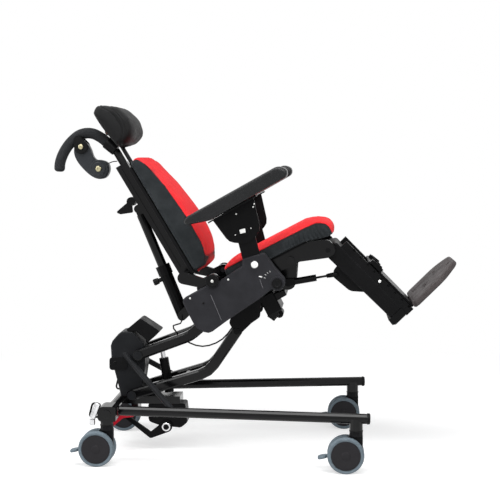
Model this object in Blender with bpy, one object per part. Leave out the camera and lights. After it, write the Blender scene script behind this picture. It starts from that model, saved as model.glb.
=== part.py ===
"""A child's activity chair on a hi-lo caster base, at rest with the seat tilted back.

Metres, +Z up, +X towards the sitter's toes, +Y to the sitter's left. The origin lies on the
floor under the middle of the whole chair. Each moving group hangs from an empty on its axis.
"""
import math

import bmesh
import bpy
from mathutils import Matrix, Vector

GAP = 0.0003
RUN = 0.0006

# The middle of the chair's length, measured from the base's own zero between the rails
CHAIR_MIDDLE_X = -0.0228

# Casters
WHEEL_RADIUS = 0.050
WHEEL_WIDTH = 0.019
WHEEL_SPACE = 0.017
WHEEL_FACE_RADIUS = 0.0395
AXLE_RADIUS = 0.006
CASTER_TRAIL = 0.028
STEM_RADIUS = 0.0053
STEM_LENGTH = 0.028
COLLAR_RADIUS = 0.0180
COLLAR_HEIGHT = 0.0315
FORK_HUB_RADIUS = 0.0220
BRAKE_LENGTH = 0.050
BRAKE_THICKNESS = 0.0075
BRAKE_TAB_LENGTH = 0.022
BRAKE_TAB_WIDTH = 0.030

# Base
FORK_RISE = 0.0160
RAIL_HEIGHT = 2.0 * WHEEL_RADIUS + FORK_RISE + COLLAR_HEIGHT
RAIL_RADIUS = 0.0140
FRONT_STEM_X = 0.2720
REAR_STEM_X = -0.4170
FRONT_HALF_TRACK = 0.2710
REAR_HALF_TRACK = 0.2215
RAIL_REAR_X = -0.3860
RAIL_REAR_HALF = 0.1900
RAIL_NOSE = 0.0340
CORNER_REAR_X = -0.4400
CORNER_HEIGHT = 0.0420
CORNER_INNER = 0.1760
CORNER_OUTER = 0.2400
CROSS_TUBE_X = -0.4150
END_PLUG_RADIUS = 0.0125
TIE_LOOP_WIRE = 0.0030
TIE_LOOP_HEIGHT = 0.0580
TIE_LOOP_REACH = 0.0300

BEAM_HALF = 0.0380
BEAM_FRONT_X = -0.2350
BEAM_BOTTOM = 0.1360
BEAM_TOP = 0.1580
TOWER_HALF = 0.0420
TOWER_TOP = 0.3490
TOWER_REAR_X = -0.4370
TOWER_FRONT_X = -0.3360
TOWER_FOOT_REAR_X = -0.4080
TOWER_FOOT_FRONT_X = -0.3500
BRACE_RADIUS = 0.0085
BRACE_TOP_X = -0.4030
BRACE_TOP_Z = 0.2870
BRACE_FOOT_X = -0.2290

# Lifting arms: two pairs of the same length between the tower and the carriage
ARM_WIDTH = 0.0270
ARM_DEPTH = 0.0310
ARM_BEND = 0.0750
LOWER_PIVOT = (-0.3720, 0.1670)
UPPER_PIVOT = (-0.3520, 0.2840)
ARM_REACH = (0.3080, 0.1890)
LOWER_KNEE = (0.2250, 0.0680)
UPPER_KNEE = (0.1520, 0.0560)
PIN_RADIUS = 0.0080
PIN_HEAD_RADIUS = 0.0125
PIN_HEAD = 0.0040
ARM_CROSS_RADIUS = 0.0100
LOWER_CROSS = (0.1570, 0.0480)
UPPER_CROSS = (0.0600, 0.0150)
LIFT_FOOT = (-0.2620, 0.1050)
LIFT_CYLINDER_RADIUS = 0.0140
LIFT_CYLINDER_LENGTH = 0.1020
LIFT_ROD_RADIUS = 0.0070

# Carriage, and the tilt axis that it carries
PLATE = 0.0060
TILT_PIVOT = (0.0830, 0.4980)
TILT_AXLE_RADIUS = 0.0125
SEAT_LEAN = math.radians(27.0)
LOCK_BLOCK = (-0.0970, -0.0520, -0.0650, -0.0040)
LOCK_CAN_RADIUS = 0.0120

# Pump between the rails
PUMP_FRONT_X = -0.2150
PUMP_REAR_X = -0.3300
PUMP_BOTTOM = 0.0700
PUMP_HALF = 0.0320
PEDAL_PIVOT = (-0.2760, 0.0690)
PEDAL_BOSS_RADIUS = 0.0170
PEDAL_ARM = 0.0070
PEDAL_ARM_DEPTH = 0.0170
PEDAL_PAD = (-0.4380, -0.3920)
PEDAL_PAD_Z = 0.1020
RELEASE_PIVOT = (-0.3700, 0.1130)
RELEASE_LENGTH = 0.0620
RELEASE_WIDTH = 0.0340
RELEASE_LUG_HALF = 0.0300

# Seat, measured along the seat (s) and square to it (n) from the tilt axis
SEAT_RAIL_INNER = 0.1160
SEAT_RAIL_WIDTH = 0.0240
SEAT_RAIL_DEPTH = 0.0340
SEAT_RAIL_TOP = 0.0780
SEAT_RAIL_REAR = -0.2450
KNEE = (0.1447, 0.0329)
KNEE_RADIUS = 0.0190
KNEE_PIN_RADIUS = 0.0070
REAR_CROSS = (-0.2350, 0.0760)
FRONT_CROSS = (0.0400, 0.0560)
SEAT_CROSS_RADIUS = 0.0100
SEAT_PAN = 0.0050
SEAT_PAN_FRONT = 0.1020
SEAT_PAN_REAR = -0.1450
SEAT_CUSHION_HALF = 0.1550
SEAT_CUSHION_REAR = -0.1470
SEAT_CUSHION_FRONT = 0.1930
SEAT_CUSHION_TOP = 0.1270
SEAT_CROWN = 0.0080
TILT_EAR = 0.0060

PANEL_INNER = 0.1630
PANEL_THICKNESS = 0.0220
PANEL_REAR = -0.2790
PANEL_TOP = 0.1050
PANEL_BOTTOM = -0.0220
PANEL_NOSE = 0.0060

# Armrests
POST_WIDTH = 0.0500
POST_THICKNESS = 0.0120
POST_LEAN = math.radians(14.0)
POST_FOOT = (-0.0600, 0.0750)
POST_LENGTH = 0.1300
POST_SEAT_DEPTH = 0.0500
ARM_TILT_UP = 0.1150
BRACKET_PLATE = 0.0050
BRACKET_RADIUS = 0.0620
PAD_LENGTH = 0.3160
PAD_WIDTH = 0.0640
PAD_THICKNESS = 0.0415
PAD_LEAN = math.radians(29.0)
PAD_REAR = 0.1280
PAD_END_RISE = 0.0220
PAD_OVER_PIVOT = 0.0715
PAD_OUTBOARD = 0.0300

# Back, measured from the recline axis: x forwards out of the back, z up the back
RECLINE_PIVOT = (-0.1763, 0.1055)
BACK_LEAN = math.radians(30.5)
BACK_RAIL_CENTRE = 0.0550
BACK_RAIL_WIDTH = 0.0280
BACK_RAIL_FRONT = -0.0520
BACK_RAIL_DEPTH = 0.0360
BACK_RAIL_BOTTOM = 0.0350
BACK_RAIL_TOP = 0.4150
BACK_CROSS_Z = 0.0470
BACK_CROSS_RADIUS = 0.0110
HINGE_ARM_INNER = 0.1430
HINGE_ARM_WIDTH = 0.0160
HINGE_ARM_RADIUS = 0.0170
SHELL_THICKNESS = 0.0120
SHELL_HALF = 0.1420
BACK_CUSHION_HALF = 0.1500
BACK_CUSHION_REAR = -0.0360
BACK_CUSHION_BOTTOM = 0.0360
BACK_CUSHION_TOP = 0.4130
BACK_CUSHION_DEPTH = 0.0740
BACK_CROWN = 0.0100

# Push handle, in the back's own directions
HANDLE_X = -0.0720
HANDLE_TUBE_RADIUS = 0.0115
HANDLE_GRIP_RADIUS = 0.0144
HANDLE_FOOT_Z = 0.3420
HANDLE_GRIP_Z = 0.4650
CLAMP_BOTTOM = 0.3580
CLAMP_TOP = 0.3960
HANDLE_TOP = 0.5572
GRIP_LINE = [(-0.0723, 0.4700), (-0.0775, 0.4830), (-0.0830, 0.5000), (-0.0905, 0.5190), (-0.1030, 0.5385),
             (-0.1205, 0.5515), (-0.1425, 0.5572), (-0.1690, 0.5535), (-0.1940, 0.5445), (-0.2170, 0.5310),
             (-0.2345, 0.5150), (-0.2468, 0.4965)]
LEVER_HALF = 0.0140
LEVER_PIVOT = (-0.1517, 0.5240)
LEVER_END = (-0.1382, 0.4412)
LEVER_TOP_RADIUS = 0.0160
LEVER_END_RADIUS = 0.0260
LEVER_EAR = 0.0040
LEVER_EAR_RADIUS = 0.0125
LEVER_CABLE_RADIUS = 0.0016
RELEASE_CABLE_RADIUS = 0.0022

# Headrest, in the back's own directions
HEAD_STEM_X = -0.0510
HEAD_STEM_RADIUS = 0.0060
HEAD_STEM_FOOT = 0.3450
HEAD_PIVOT = (-0.0590, 0.5180)
HEAD_BLOCK_HALF = 0.0120
HEAD_BLOCK_WIDTH = 0.0260
HEAD_CHEEK = 0.0030
HEAD_STUD_RADIUS = 0.0030
HEAD_KNOB_LENGTH = 0.0120
HEAD_GROOVE = 0.0210
HEAD_KNOB_RADIUS = 0.0100
HEAD_HEIGHT = 0.1400
HEAD_DEPTH = 0.0920
HEAD_HALF = 0.1150
HEAD_REAR = 0.0040

# Recline strut between the seat frame and the back
STRUT_FOOT = (-0.3248, 0.0476)
STRUT_TOP = (-0.1028, 0.2845)
STRUT_HOUSING_RADIUS = 0.0185
STRUT_HOUSING_LENGTH = 0.1300
STRUT_COLLAR_RADIUS = 0.0215
STRUT_SLEEVE_RADIUS = 0.0135
STRUT_EAR_INNER = 0.0215
STRUT_EAR = 0.0050
STRUT_LEVER = (-0.1068, 0.3125)
STRUT_LEVER_LENGTH = 0.0560

# Legrest, measured from the knee: x forwards out of the leg, z up the leg
LEG_LEAN = math.radians(44.4)
LEG_HALF = 0.1140
LEG_BACK = -0.0100
LEG_FRONT = 0.0310
LEG_BOTTOM = -0.2620
TRACK_WIDTH = 0.0200
TRACK_DEPTH = 0.0220
TRACK_BOTTOM = -0.2870
TRACK_NOTCHES = 9
FOOT_PLATE = 0.0060
FOOT_PLATE_TOP = -0.1050
FOOT_HALF = 0.1400
FOOT_TOP = -0.2710
FOOT_THICKNESS = 0.0160
FOOT_TIP = 0.2300
FOOT_HOLE_RADIUS = 0.0060
FOOT_HOLES = [(0.0164, 0.0450), (0.0524, -0.0380), (0.0964, 0.0450), (0.1424, -0.0380)]
LEG_STRUT_Y = -0.0960
LEG_STRUT_RADIUS = 0.0095
LEG_STRUT_LENGTH = 0.0620
LEG_ROD_RADIUS = 0.0030
LEG_EYE = (-0.0350, -0.0660)
FIN_HALF = 0.0035

SIDES = {"right": -1.0, "left": 1.0}
ROUND = 12


def clear_scene():
    for obj in list(bpy.data.objects):
        bpy.data.objects.remove(obj)


class Frame:
    """A side-view frame: a point in the XZ plane and a lean that turns X towards Z."""

    def __init__(self, x, z, lean=0.0):
        self.matrix = Matrix.Translation((x, 0.0, z)) @ Matrix.Rotation(-lean, 4, "Y")

    def at(self, x, y, z):
        return self.matrix @ Vector((x, y, z))


WORLD = Frame(-CHAIR_MIDDLE_X, 0.0)


def in_world(point, y=0.0):
    return WORLD.at(point[0], y, point[1])


TILT_AXIS = in_world(TILT_PIVOT)
SEAT = Frame(TILT_AXIS.x, TILT_AXIS.z, SEAT_LEAN)
RECLINE_AXIS = SEAT.at(RECLINE_PIVOT[0], 0.0, RECLINE_PIVOT[1])
BACK = Frame(RECLINE_AXIS.x, RECLINE_AXIS.z, BACK_LEAN)
KNEE_AXIS = SEAT.at(KNEE[0], 0.0, KNEE[1])
LEG = Frame(KNEE_AXIS.x, KNEE_AXIS.z, LEG_LEAN)


# Materials

LOOKS = {
    "gloss_black": ((0.012, 0.012, 0.013), 0.28, 0.0),
    "satin_black": ((0.020, 0.020, 0.021), 0.45, 0.0),
    "panel_grey": ((0.045, 0.045, 0.048), 0.50, 0.0),
    "tyre_grey": ((0.145, 0.175, 0.195), 0.60, 0.0),
    "red_cover": ((0.800, 0.030, 0.035), 0.65, 0.0),
    "pad_black": ((0.022, 0.024, 0.026), 0.55, 0.0),
    "foot_grey": ((0.060, 0.052, 0.052), 0.60, 0.0),
    "bright_steel": ((0.560, 0.570, 0.580), 0.25, 1.0),
    "red_pedal": ((0.600, 0.020, 0.030), 0.40, 0.0),
    "nylon": ((0.720, 0.720, 0.700), 0.50, 0.0),
}


def material(look):
    if look in bpy.data.materials:
        return bpy.data.materials[look]
    colour, roughness, metallic = LOOKS[look]
    made = bpy.data.materials.new(look)
    made.use_nodes = True
    shader = made.node_tree.nodes["Principled BSDF"]
    shader.inputs["Base Color"].default_value = (*colour, 1.0)
    shader.inputs["Roughness"].default_value = roughness
    shader.inputs["Metallic"].default_value = metallic
    made.diffuse_color = (*colour, 1.0)
    return made


# Joints and nodes

AXES = {}


def axis_empty(name, at, parent=None):
    """An empty on a joint's axis, which carries the pieces of one moving group."""
    empty = bpy.data.objects.new(name, None)
    empty.empty_display_size = 0.02
    bpy.context.scene.collection.objects.link(empty)
    base = Vector((0.0, 0.0, 0.0))
    if parent:
        empty.parent = bpy.data.objects[parent]
        base = AXES[parent]
    empty.location = Vector(at) - base
    AXES[name] = Vector(at)
    return empty


def node(name, bm, look, group, bevel=0.0, smooth=35.0):
    """Turns a bmesh in world metres into one named object whose origin is its group's axis."""
    at = AXES[group]
    bmesh.ops.remove_doubles(bm, verts=bm.verts, dist=1e-6)
    bmesh.ops.recalc_face_normals(bm, faces=bm.faces)
    bmesh.ops.translate(bm, verts=bm.verts, vec=-at)
    mesh = bpy.data.meshes.new(name)
    bm.to_mesh(mesh)
    bm.free()
    mesh.shade_smooth()
    mesh.set_sharp_from_angle(angle=math.radians(smooth))
    mesh.materials.append(material(look))
    obj = bpy.data.objects.new(name, mesh)
    bpy.context.scene.collection.objects.link(obj)
    obj.parent = bpy.data.objects[group]
    if bevel:
        rounded = obj.modifiers.new("edges", "BEVEL")
        rounded.width = bevel
        rounded.segments = 1
        rounded.limit_method = "ANGLE"
        rounded.angle_limit = math.radians(50.0)
    return obj


def combine(obj, operation, shapes):
    """Adds or cuts shapes with Boolean modifiers. The shapes stay as guides."""
    for index, bm in enumerate(shapes):
        guide = node(f"{obj.name}_{operation.lower()}_{index}", bm, obj.data.materials[0].name, obj.parent.name)
        guide.hide_render = True
        guide.display_type = "WIRE"
        step = obj.modifiers.new(f"{operation.lower()} {index}", "BOOLEAN")
        step.operation = operation
        step.object = guide
    return obj


def weld(obj, *shapes):
    return combine(obj, "UNION", shapes)


def cut(obj, *shapes):
    return combine(obj, "DIFFERENCE", shapes)


# Outlines and paths

def rounded(corners, step=math.radians(30.0)):
    """An outline from (x, z, radius) corners, with an arc at each corner that has a radius."""
    outline = []
    count = len(corners)
    for i, (x, z, radius) in enumerate(corners):
        here = Vector((x, z))
        back = (Vector(corners[i - 1][:2]) - here).normalized()
        ahead = (Vector(corners[(i + 1) % count][:2]) - here).normalized()
        inside = math.acos(max(-1.0, min(1.0, back.dot(ahead))))
        turn = math.pi - inside
        if radius <= 0.0 or turn < 0.05:
            outline.append(here)
            continue
        trim = radius / math.tan(inside / 2.0)
        first = here + back * trim
        last = here + ahead * trim
        middle = here + (back + ahead).normalized() * (radius / math.sin(inside / 2.0))
        pieces = max(1, round(turn / step))
        start = first - middle
        end = last - middle
        sweep = start.angle_signed(end)
        for k in range(pieces + 1):
            outline.append(middle + Matrix.Rotation(-sweep * k / pieces, 2) @ start)
        # angle_signed is clockwise in Blender, so the turn is taken back
    return [(p.x, p.y) for p in outline]


def disc(x, z, radius, sides=ROUND):
    return [(x + radius * math.cos(2.0 * math.pi * k / sides), z + radius * math.sin(2.0 * math.pi * k / sides))
            for k in range(sides)]


def hull_of_discs(discs, sides=24):
    """The outline that a belt would take around several discs, each (x, z, radius)."""
    points = sorted({p for x, z, r in discs for p in disc(x, z, r, sides)})

    def half(ordered):
        chain = []
        for p in ordered:
            while len(chain) > 1 and cross(chain[-2], chain[-1], p) <= 1e-12:
                chain.pop()
            chain.append(p)
        return chain[:-1]

    def cross(a, b, c):
        return (b[0] - a[0]) * (c[1] - a[1]) - (b[1] - a[1]) * (c[0] - a[0])

    return half(points) + half(points[::-1])


def bent_path(corners, radius, step=math.radians(15.0)):
    """A path through 3D corners, with each inner corner rounded to the radius."""
    corners = [Vector(c) for c in corners]
    path = [corners[0]]
    for before, here, after in zip(corners, corners[1:], corners[2:]):
        back = (before - here).normalized()
        ahead = (after - here).normalized()
        inside = back.angle(ahead)
        turn = math.pi - inside
        if turn < 0.02:
            path.append(here)
            continue
        trim = radius / math.tan(inside / 2.0)
        middle = here + (back + ahead).normalized() * (radius / math.sin(inside / 2.0))
        start = here + back * trim - middle
        axle = start.cross(here + ahead * trim - middle).normalized()
        pieces = max(2, round(turn / step))
        for k in range(pieces + 1):
            path.append(middle + Matrix.Rotation(turn * k / pieces, 3, axle) @ start)
    path.append(corners[-1])
    return path


# Solids, each returned as a bmesh in world metres

def slab(outline, y0, y1, frame=WORLD):
    """An outline in a frame's XZ plane, drawn out from y0 to y1."""
    bm = bmesh.new()
    near = [bm.verts.new(frame.at(x, y0, z)) for x, z in outline]
    far = [bm.verts.new(frame.at(x, y1, z)) for x, z in outline]
    bm.faces.new(near)
    bm.faces.new(far[::-1])
    count = len(outline)
    for i in range(count):
        j = (i + 1) % count
        bm.faces.new((near[j], near[i], far[i], far[j]))
    return bm


def block(x0, x1, y0, y1, z0, z1, frame=WORLD):
    return slab([(x0, z0), (x1, z0), (x1, z1), (x0, z1)], y0, y1, frame)


def both_sides(y0, y1, side):
    """The y range of a piece on one side, given for the left side."""
    return (y0, y1) if side > 0.0 else (-y1, -y0)


def ring_of(section, centre, along, across):
    """A closed section placed square to a direction, with its first axis near the given one."""
    first = (across - along * across.dot(along)).normalized()
    second = along.cross(first)
    return [centre + first * a + second * b for a, b in section]


def skin(rings, closed_ends=True):
    bm = bmesh.new()
    rows = [[bm.verts.new(p) for p in ring] for ring in rings]
    count = len(rows[0])
    for low, high in zip(rows, rows[1:]):
        for i in range(count):
            j = (i + 1) % count
            bm.faces.new((low[i], low[j], high[j], high[i]))
    if closed_ends:
        bm.faces.new(rows[0][::-1])
        bm.faces.new(rows[-1])
    return bm


def sweep(path, section, across=Vector((0.0, 1.0, 0.0))):
    """A section drawn along a path that keeps its first axis turned the same way."""
    rings = []
    for i, here in enumerate(path):
        before = path[max(0, i - 1)]
        after = path[min(len(path) - 1, i + 1)]
        into = (here - before).normalized() if i else (after - here).normalized()
        out = (after - here).normalized() if i < len(path) - 1 else into
        along = (into + out).normalized()
        rings.append(ring_of(section, here, along, across))
    return skin(rings)


def circle(radius, sides=ROUND):
    return disc(0.0, 0.0, radius, sides)


def box_section(width, depth, corner):
    half_w = width / 2.0
    half_d = depth / 2.0
    return rounded([(-half_w, -half_d, corner), (half_w, -half_d, corner),
                    (half_w, half_d, corner), (-half_w, half_d, corner)], math.radians(45.0))


def rod(start, end, radius, sides=ROUND):
    start = Vector(start)
    end = Vector(end)
    along = (end - start).normalized()
    across = Vector((0.0, 1.0, 0.0)) if abs(along.y) < 0.9 else Vector((1.0, 0.0, 0.0))
    return skin([ring_of(circle(radius, sides), p, along, across) for p in (start, end)])


def turned(profile, centre, along, sides=24):
    """A solid of revolution from (distance along, radius) pairs. The ends are flat or pointed."""
    along = Vector(along).normalized()
    across = Vector((0.0, 0.0, 1.0)) if abs(along.z) < 0.9 else Vector((1.0, 0.0, 0.0))
    rings = [ring_of(circle(max(r, 1e-4), sides), Vector(centre) + along * h, along, across) for h, r in profile]
    return skin(rings)


def cross_pin(x, z, radius, y0, y1, frame=WORLD, sides=ROUND):
    return rod(frame.at(x, y0, z), frame.at(x, y1, z), radius, sides)


def trimmed_rod(start, end, radius, start_plane, end_plane, sides=12):
    """A straight tube whose ends are cut by planes, each a (point, normal) pair."""
    start = Vector(start)
    end = Vector(end)
    along = (end - start).normalized()
    rings = []
    for centre, (on_plane, normal) in ((start, start_plane), (end, end_plane)):
        ring = ring_of(circle(radius, sides), centre, along, Vector((0.0, 1.0, 0.0)))
        rings.append([p + along * ((Vector(on_plane) - p).dot(Vector(normal)) / along.dot(Vector(normal)))
                      for p in ring])
    return skin(rings)


def lofted_pad(outline, half_width, frame, draw_in, crown, stations=15, crown_way=(1.0, 0.0)):
    """A stuffed pad: its side outline is drawn in towards both sides and swells in the middle."""
    middle = Vector((sum(x for x, z in outline), sum(z for x, z in outline))) / len(outline)
    way = Vector(crown_way)
    rings = []
    for k in range(stations):
        share = math.sin(math.pi / 2.0 * (2.0 * k / (stations - 1) - 1.0))
        inset = draw_in * (1.0 - math.sqrt(max(0.0, 1.0 - abs(share) ** 6.0)))
        swell = crown * (1.0 - share * share)
        ring = []
        for x, z in outline:
            here = Vector((x, z))
            out = here - middle
            facing = max(0.0, out.normalized().dot(way))
            moved = here - out.normalized() * inset + way * swell * facing
            ring.append(frame.at(moved.x, share * half_width, moved.y))
        rings.append(ring)
    return skin(rings)


# Casters

def caster(corner, side, stem_x, half_track):
    name = f"{corner}_{'right' if side < 0.0 else 'left'}"
    stem = WORLD.at(stem_x, side * half_track, 0.0)
    axle = stem - Vector((CASTER_TRAIL, 0.0, -WHEEL_RADIUS))
    top = RAIL_HEIGHT - COLLAR_HEIGHT - GAP
    swivel = f"{name}_swivel"
    axis_empty(swivel, (stem.x, stem.y, top))
    here = Frame(stem.x, 0.0)
    crown = 2.0 * WHEEL_RADIUS + FORK_RISE * 0.125
    web = WHEEL_SPACE / 2.0 - RUN
    outline = hull_of_discs([(-CASTER_TRAIL, WHEEL_RADIUS, FORK_HUB_RADIUS),
                             (COLLAR_RADIUS - 0.010, WHEEL_RADIUS + 0.008, 0.010),
                             (COLLAR_RADIUS - 0.004, crown, 0.004), (-COLLAR_RADIUS + 0.004, crown, 0.004)], 16)
    fork = node(f"caster_fork_{name}", slab(outline, stem.y - web, stem.y + web, here), "satin_black", swivel)
    weld(fork, rod((stem.x, stem.y, crown - 0.001), (stem.x, stem.y, top), COLLAR_RADIUS),
         rod((stem.x, stem.y, top - 0.002), (stem.x, stem.y, top + STEM_LENGTH), STEM_RADIUS, 12))
    cut(fork, rod((axle.x, stem.y - 0.02, axle.z), (axle.x, stem.y + 0.02, axle.z), AXLE_RADIUS + GAP))

    spin = f"{name}_axle"
    axis_empty(spin, axle, swivel)
    inner = WHEEL_SPACE / 2.0
    outer = inner + WHEEL_WIDTH
    face = WHEEL_FACE_RADIUS
    half_profile = [(inner, AXLE_RADIUS), (inner, WHEEL_RADIUS - 0.006), (inner + 0.003, WHEEL_RADIUS - 0.001),
                    (inner + 0.006, WHEEL_RADIUS), (outer - 0.006, WHEEL_RADIUS), (outer - 0.002, WHEEL_RADIUS - 0.003),
                    (outer, face + 0.002), (outer - 0.0012, face)]
    profile = [(-h, r) for h, r in half_profile[::-1]] + half_profile
    node(f"caster_wheels_{name}", turned(profile, axle, (0.0, 1.0, 0.0), 24), "tyre_grey", spin)

    tip = BRAKE_THICKNESS / 2.0
    pivot = axle - Vector((FORK_HUB_RADIUS + GAP + tip, 0.0, 0.0))
    brake = f"{name}_brake_axis"
    axis_empty(brake, pivot, swivel)
    spot = Frame(pivot.x, pivot.z)
    arm = hull_of_discs([(0.0, 0.0, tip), (-BRAKE_LENGTH + BRAKE_TAB_LENGTH, -0.001, tip)], 12)
    tab = hull_of_discs([(-BRAKE_LENGTH + BRAKE_TAB_LENGTH, -0.001, tip), (-BRAKE_LENGTH + tip, 0.001, tip)], 12)
    pedal = node(f"caster_brake_{name}", slab(arm, stem.y - web + 0.002, stem.y + web - 0.002, spot),
                 "tyre_grey", brake)
    weld(pedal, slab(tab, stem.y - BRAKE_TAB_WIDTH / 2.0, stem.y + BRAKE_TAB_WIDTH / 2.0, spot))


def stem_socket(stem_x, y):
    """The socket under a rail or corner that takes a caster's stem."""
    top = WORLD.at(stem_x, y, RAIL_HEIGHT)
    return rod(top, top - Vector((0.0, 0.0, COLLAR_HEIGHT)), COLLAR_RADIUS)


def stem_bore(stem_x, y):
    mouth = WORLD.at(stem_x, y, RAIL_HEIGHT - COLLAR_HEIGHT - 0.002)
    return rod(mouth, mouth + Vector((0.0, 0.0, STEM_LENGTH + 0.004)), STEM_RADIUS + GAP, 12)


# Base

def rail_half_at(x):
    share = (x - RAIL_REAR_X) / (FRONT_STEM_X - RAIL_REAR_X)
    return RAIL_REAR_HALF + (FRONT_HALF_TRACK - RAIL_REAR_HALF) * share


def base():
    axis_empty("base", (0.0, 0.0, 0.0))
    for word, side in SIDES.items():
        nose = FRONT_STEM_X + RAIL_NOSE
        rail = node(f"rail_{word}", rod(WORLD.at(RAIL_REAR_X, side * RAIL_REAR_HALF, RAIL_HEIGHT),
                                        WORLD.at(nose, side * rail_half_at(nose), RAIL_HEIGHT), RAIL_RADIUS),
                    "gloss_black", "base", bevel=0.0015)
        weld(rail, stem_socket(FRONT_STEM_X, side * FRONT_HALF_TRACK))
        cut(rail, stem_bore(FRONT_STEM_X, side * FRONT_HALF_TRACK))

    cradle()
    tower()
    pump()


def cradle():
    """The rear cross tube with its two corner castings, and the beam that carries tower and pump."""
    span = CORNER_INNER + 0.004
    frame = node("base_cradle", rod(WORLD.at(CROSS_TUBE_X, -span, RAIL_HEIGHT), WORLD.at(CROSS_TUBE_X, span, RAIL_HEIGHT),
                                    RAIL_RADIUS), "satin_black", "base")
    x, z = RELEASE_PIVOT
    adds = [block(CROSS_TUBE_X, BEAM_FRONT_X, -BEAM_HALF, BEAM_HALF, BEAM_BOTTOM, BEAM_TOP),
            block(x - 0.010, x + 0.010, -RELEASE_LUG_HALF, RELEASE_LUG_HALF, z - 0.008, BEAM_BOTTOM + 0.004)]
    cuts = []
    low = RAIL_HEIGHT - CORNER_HEIGHT / 2.0
    high = RAIL_HEIGHT + CORNER_HEIGHT / 2.0
    front = RAIL_REAR_X - 0.003
    casting = rounded([(CORNER_REAR_X, low, 0.012), (front, low, 0.004), (front, high, 0.010),
                       (CORNER_REAR_X, high, 0.014)])
    for side in SIDES.values():
        face = side * CORNER_OUTER
        rear = WORLD.at(CORNER_REAR_X, side * (CORNER_INNER + CORNER_OUTER) / 2.0, RAIL_HEIGHT)
        half = TIE_LOOP_HEIGHT / 2.0
        loop = bent_path([rear + Vector((0.004, 0.0, half - 0.014)), rear + Vector((-TIE_LOOP_REACH * 0.6, 0.0, half)),
                          rear + Vector((-TIE_LOOP_REACH, 0.0, -half * 0.6)),
                          rear + Vector((0.004, 0.0, -half + 0.016))], 0.008, math.radians(30.0))
        adds += [slab(casting, *both_sides(CORNER_INNER, CORNER_OUTER, side)),
                 stem_socket(REAR_STEM_X, side * REAR_HALF_TRACK),
                 rod(WORLD.at(CROSS_TUBE_X, face - side * 0.004, RAIL_HEIGHT),
                     WORLD.at(CROSS_TUBE_X, face + side * 0.003, RAIL_HEIGHT), END_PLUG_RADIUS),
                 sweep(loop, circle(TIE_LOOP_WIRE, 8))]
        cuts += [stem_bore(REAR_STEM_X, side * REAR_HALF_TRACK),
                 rod(WORLD.at(RAIL_REAR_X - 0.006, side * RAIL_REAR_HALF, RAIL_HEIGHT),
                     WORLD.at(RAIL_REAR_X + 0.010, side * RAIL_REAR_HALF, RAIL_HEIGHT), RAIL_RADIUS + GAP)]
    weld(frame, *adds)
    cut(frame, *cuts)


def braces():
    """The two tubes from the tower's sides down to the tops of the rails."""
    tubes = []
    for side in SIDES.values():
        foot = Vector(WORLD.at(BRACE_FOOT_X, side * rail_half_at(BRACE_FOOT_X), RAIL_HEIGHT))
        head = Vector(WORLD.at(BRACE_TOP_X, side * (TOWER_HALF - 0.012), BRACE_TOP_Z))
        level = foot + Vector((0.0, 0.0, RAIL_RADIUS + GAP * 0.2))
        tubes.append(trimmed_rod(head, foot, BRACE_RADIUS, (head, (0.0, 1.0, 0.0)), (level, (0.0, 0.0, 1.0))))
    return tubes


def tower():
    foot = BEAM_TOP + GAP
    outline = rounded([(TOWER_FOOT_REAR_X, foot, 0.004), (TOWER_FOOT_FRONT_X, foot, 0.004),
                       (TOWER_FRONT_X, 0.250, 0.030), (TOWER_FRONT_X, 0.310, 0.020),
                       (TOWER_FRONT_X - 0.036, TOWER_TOP, 0.020), (TOWER_REAR_X + 0.030, TOWER_TOP, 0.022),
                       (TOWER_REAR_X, 0.315, 0.020), (TOWER_REAR_X + 0.002, 0.270, 0.020)])
    column = node("tower_column", slab(outline, -TOWER_HALF, TOWER_HALF), "satin_black", "base", bevel=0.003)
    reach = TOWER_HALF + ARM_WIDTH + 3.0 * RUN
    pins = []
    for x, z in (LOWER_PIVOT, UPPER_PIVOT):
        for side in SIDES.values():
            pins.append(cross_pin(x, z, PIN_RADIUS, side * (TOWER_HALF - 0.004), side * reach))
            pins.append(cross_pin(x, z, PIN_HEAD_RADIUS, side * (reach - 0.0008), side * (reach + PIN_HEAD)))
    weld(column, *pins, *braces())

    hood_floor = 0.3300
    hood = rounded([(-0.3330, hood_floor - 0.018, 0.003), (-0.3040, 0.3370, 0.0), (-0.2920, 0.3500, 0.003),
                    (-0.3490, 0.3880, 0.008), (-0.3960, TOWER_TOP + GAP, 0.004),
                    (-0.3720 + 0.012, TOWER_TOP + GAP, 0.0), (-0.3330, 0.3250, 0.0)])
    node("tower_hood", slab(hood, -TOWER_HALF + 0.002, TOWER_HALF - 0.002), "satin_black", "base", bevel=0.002)


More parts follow.
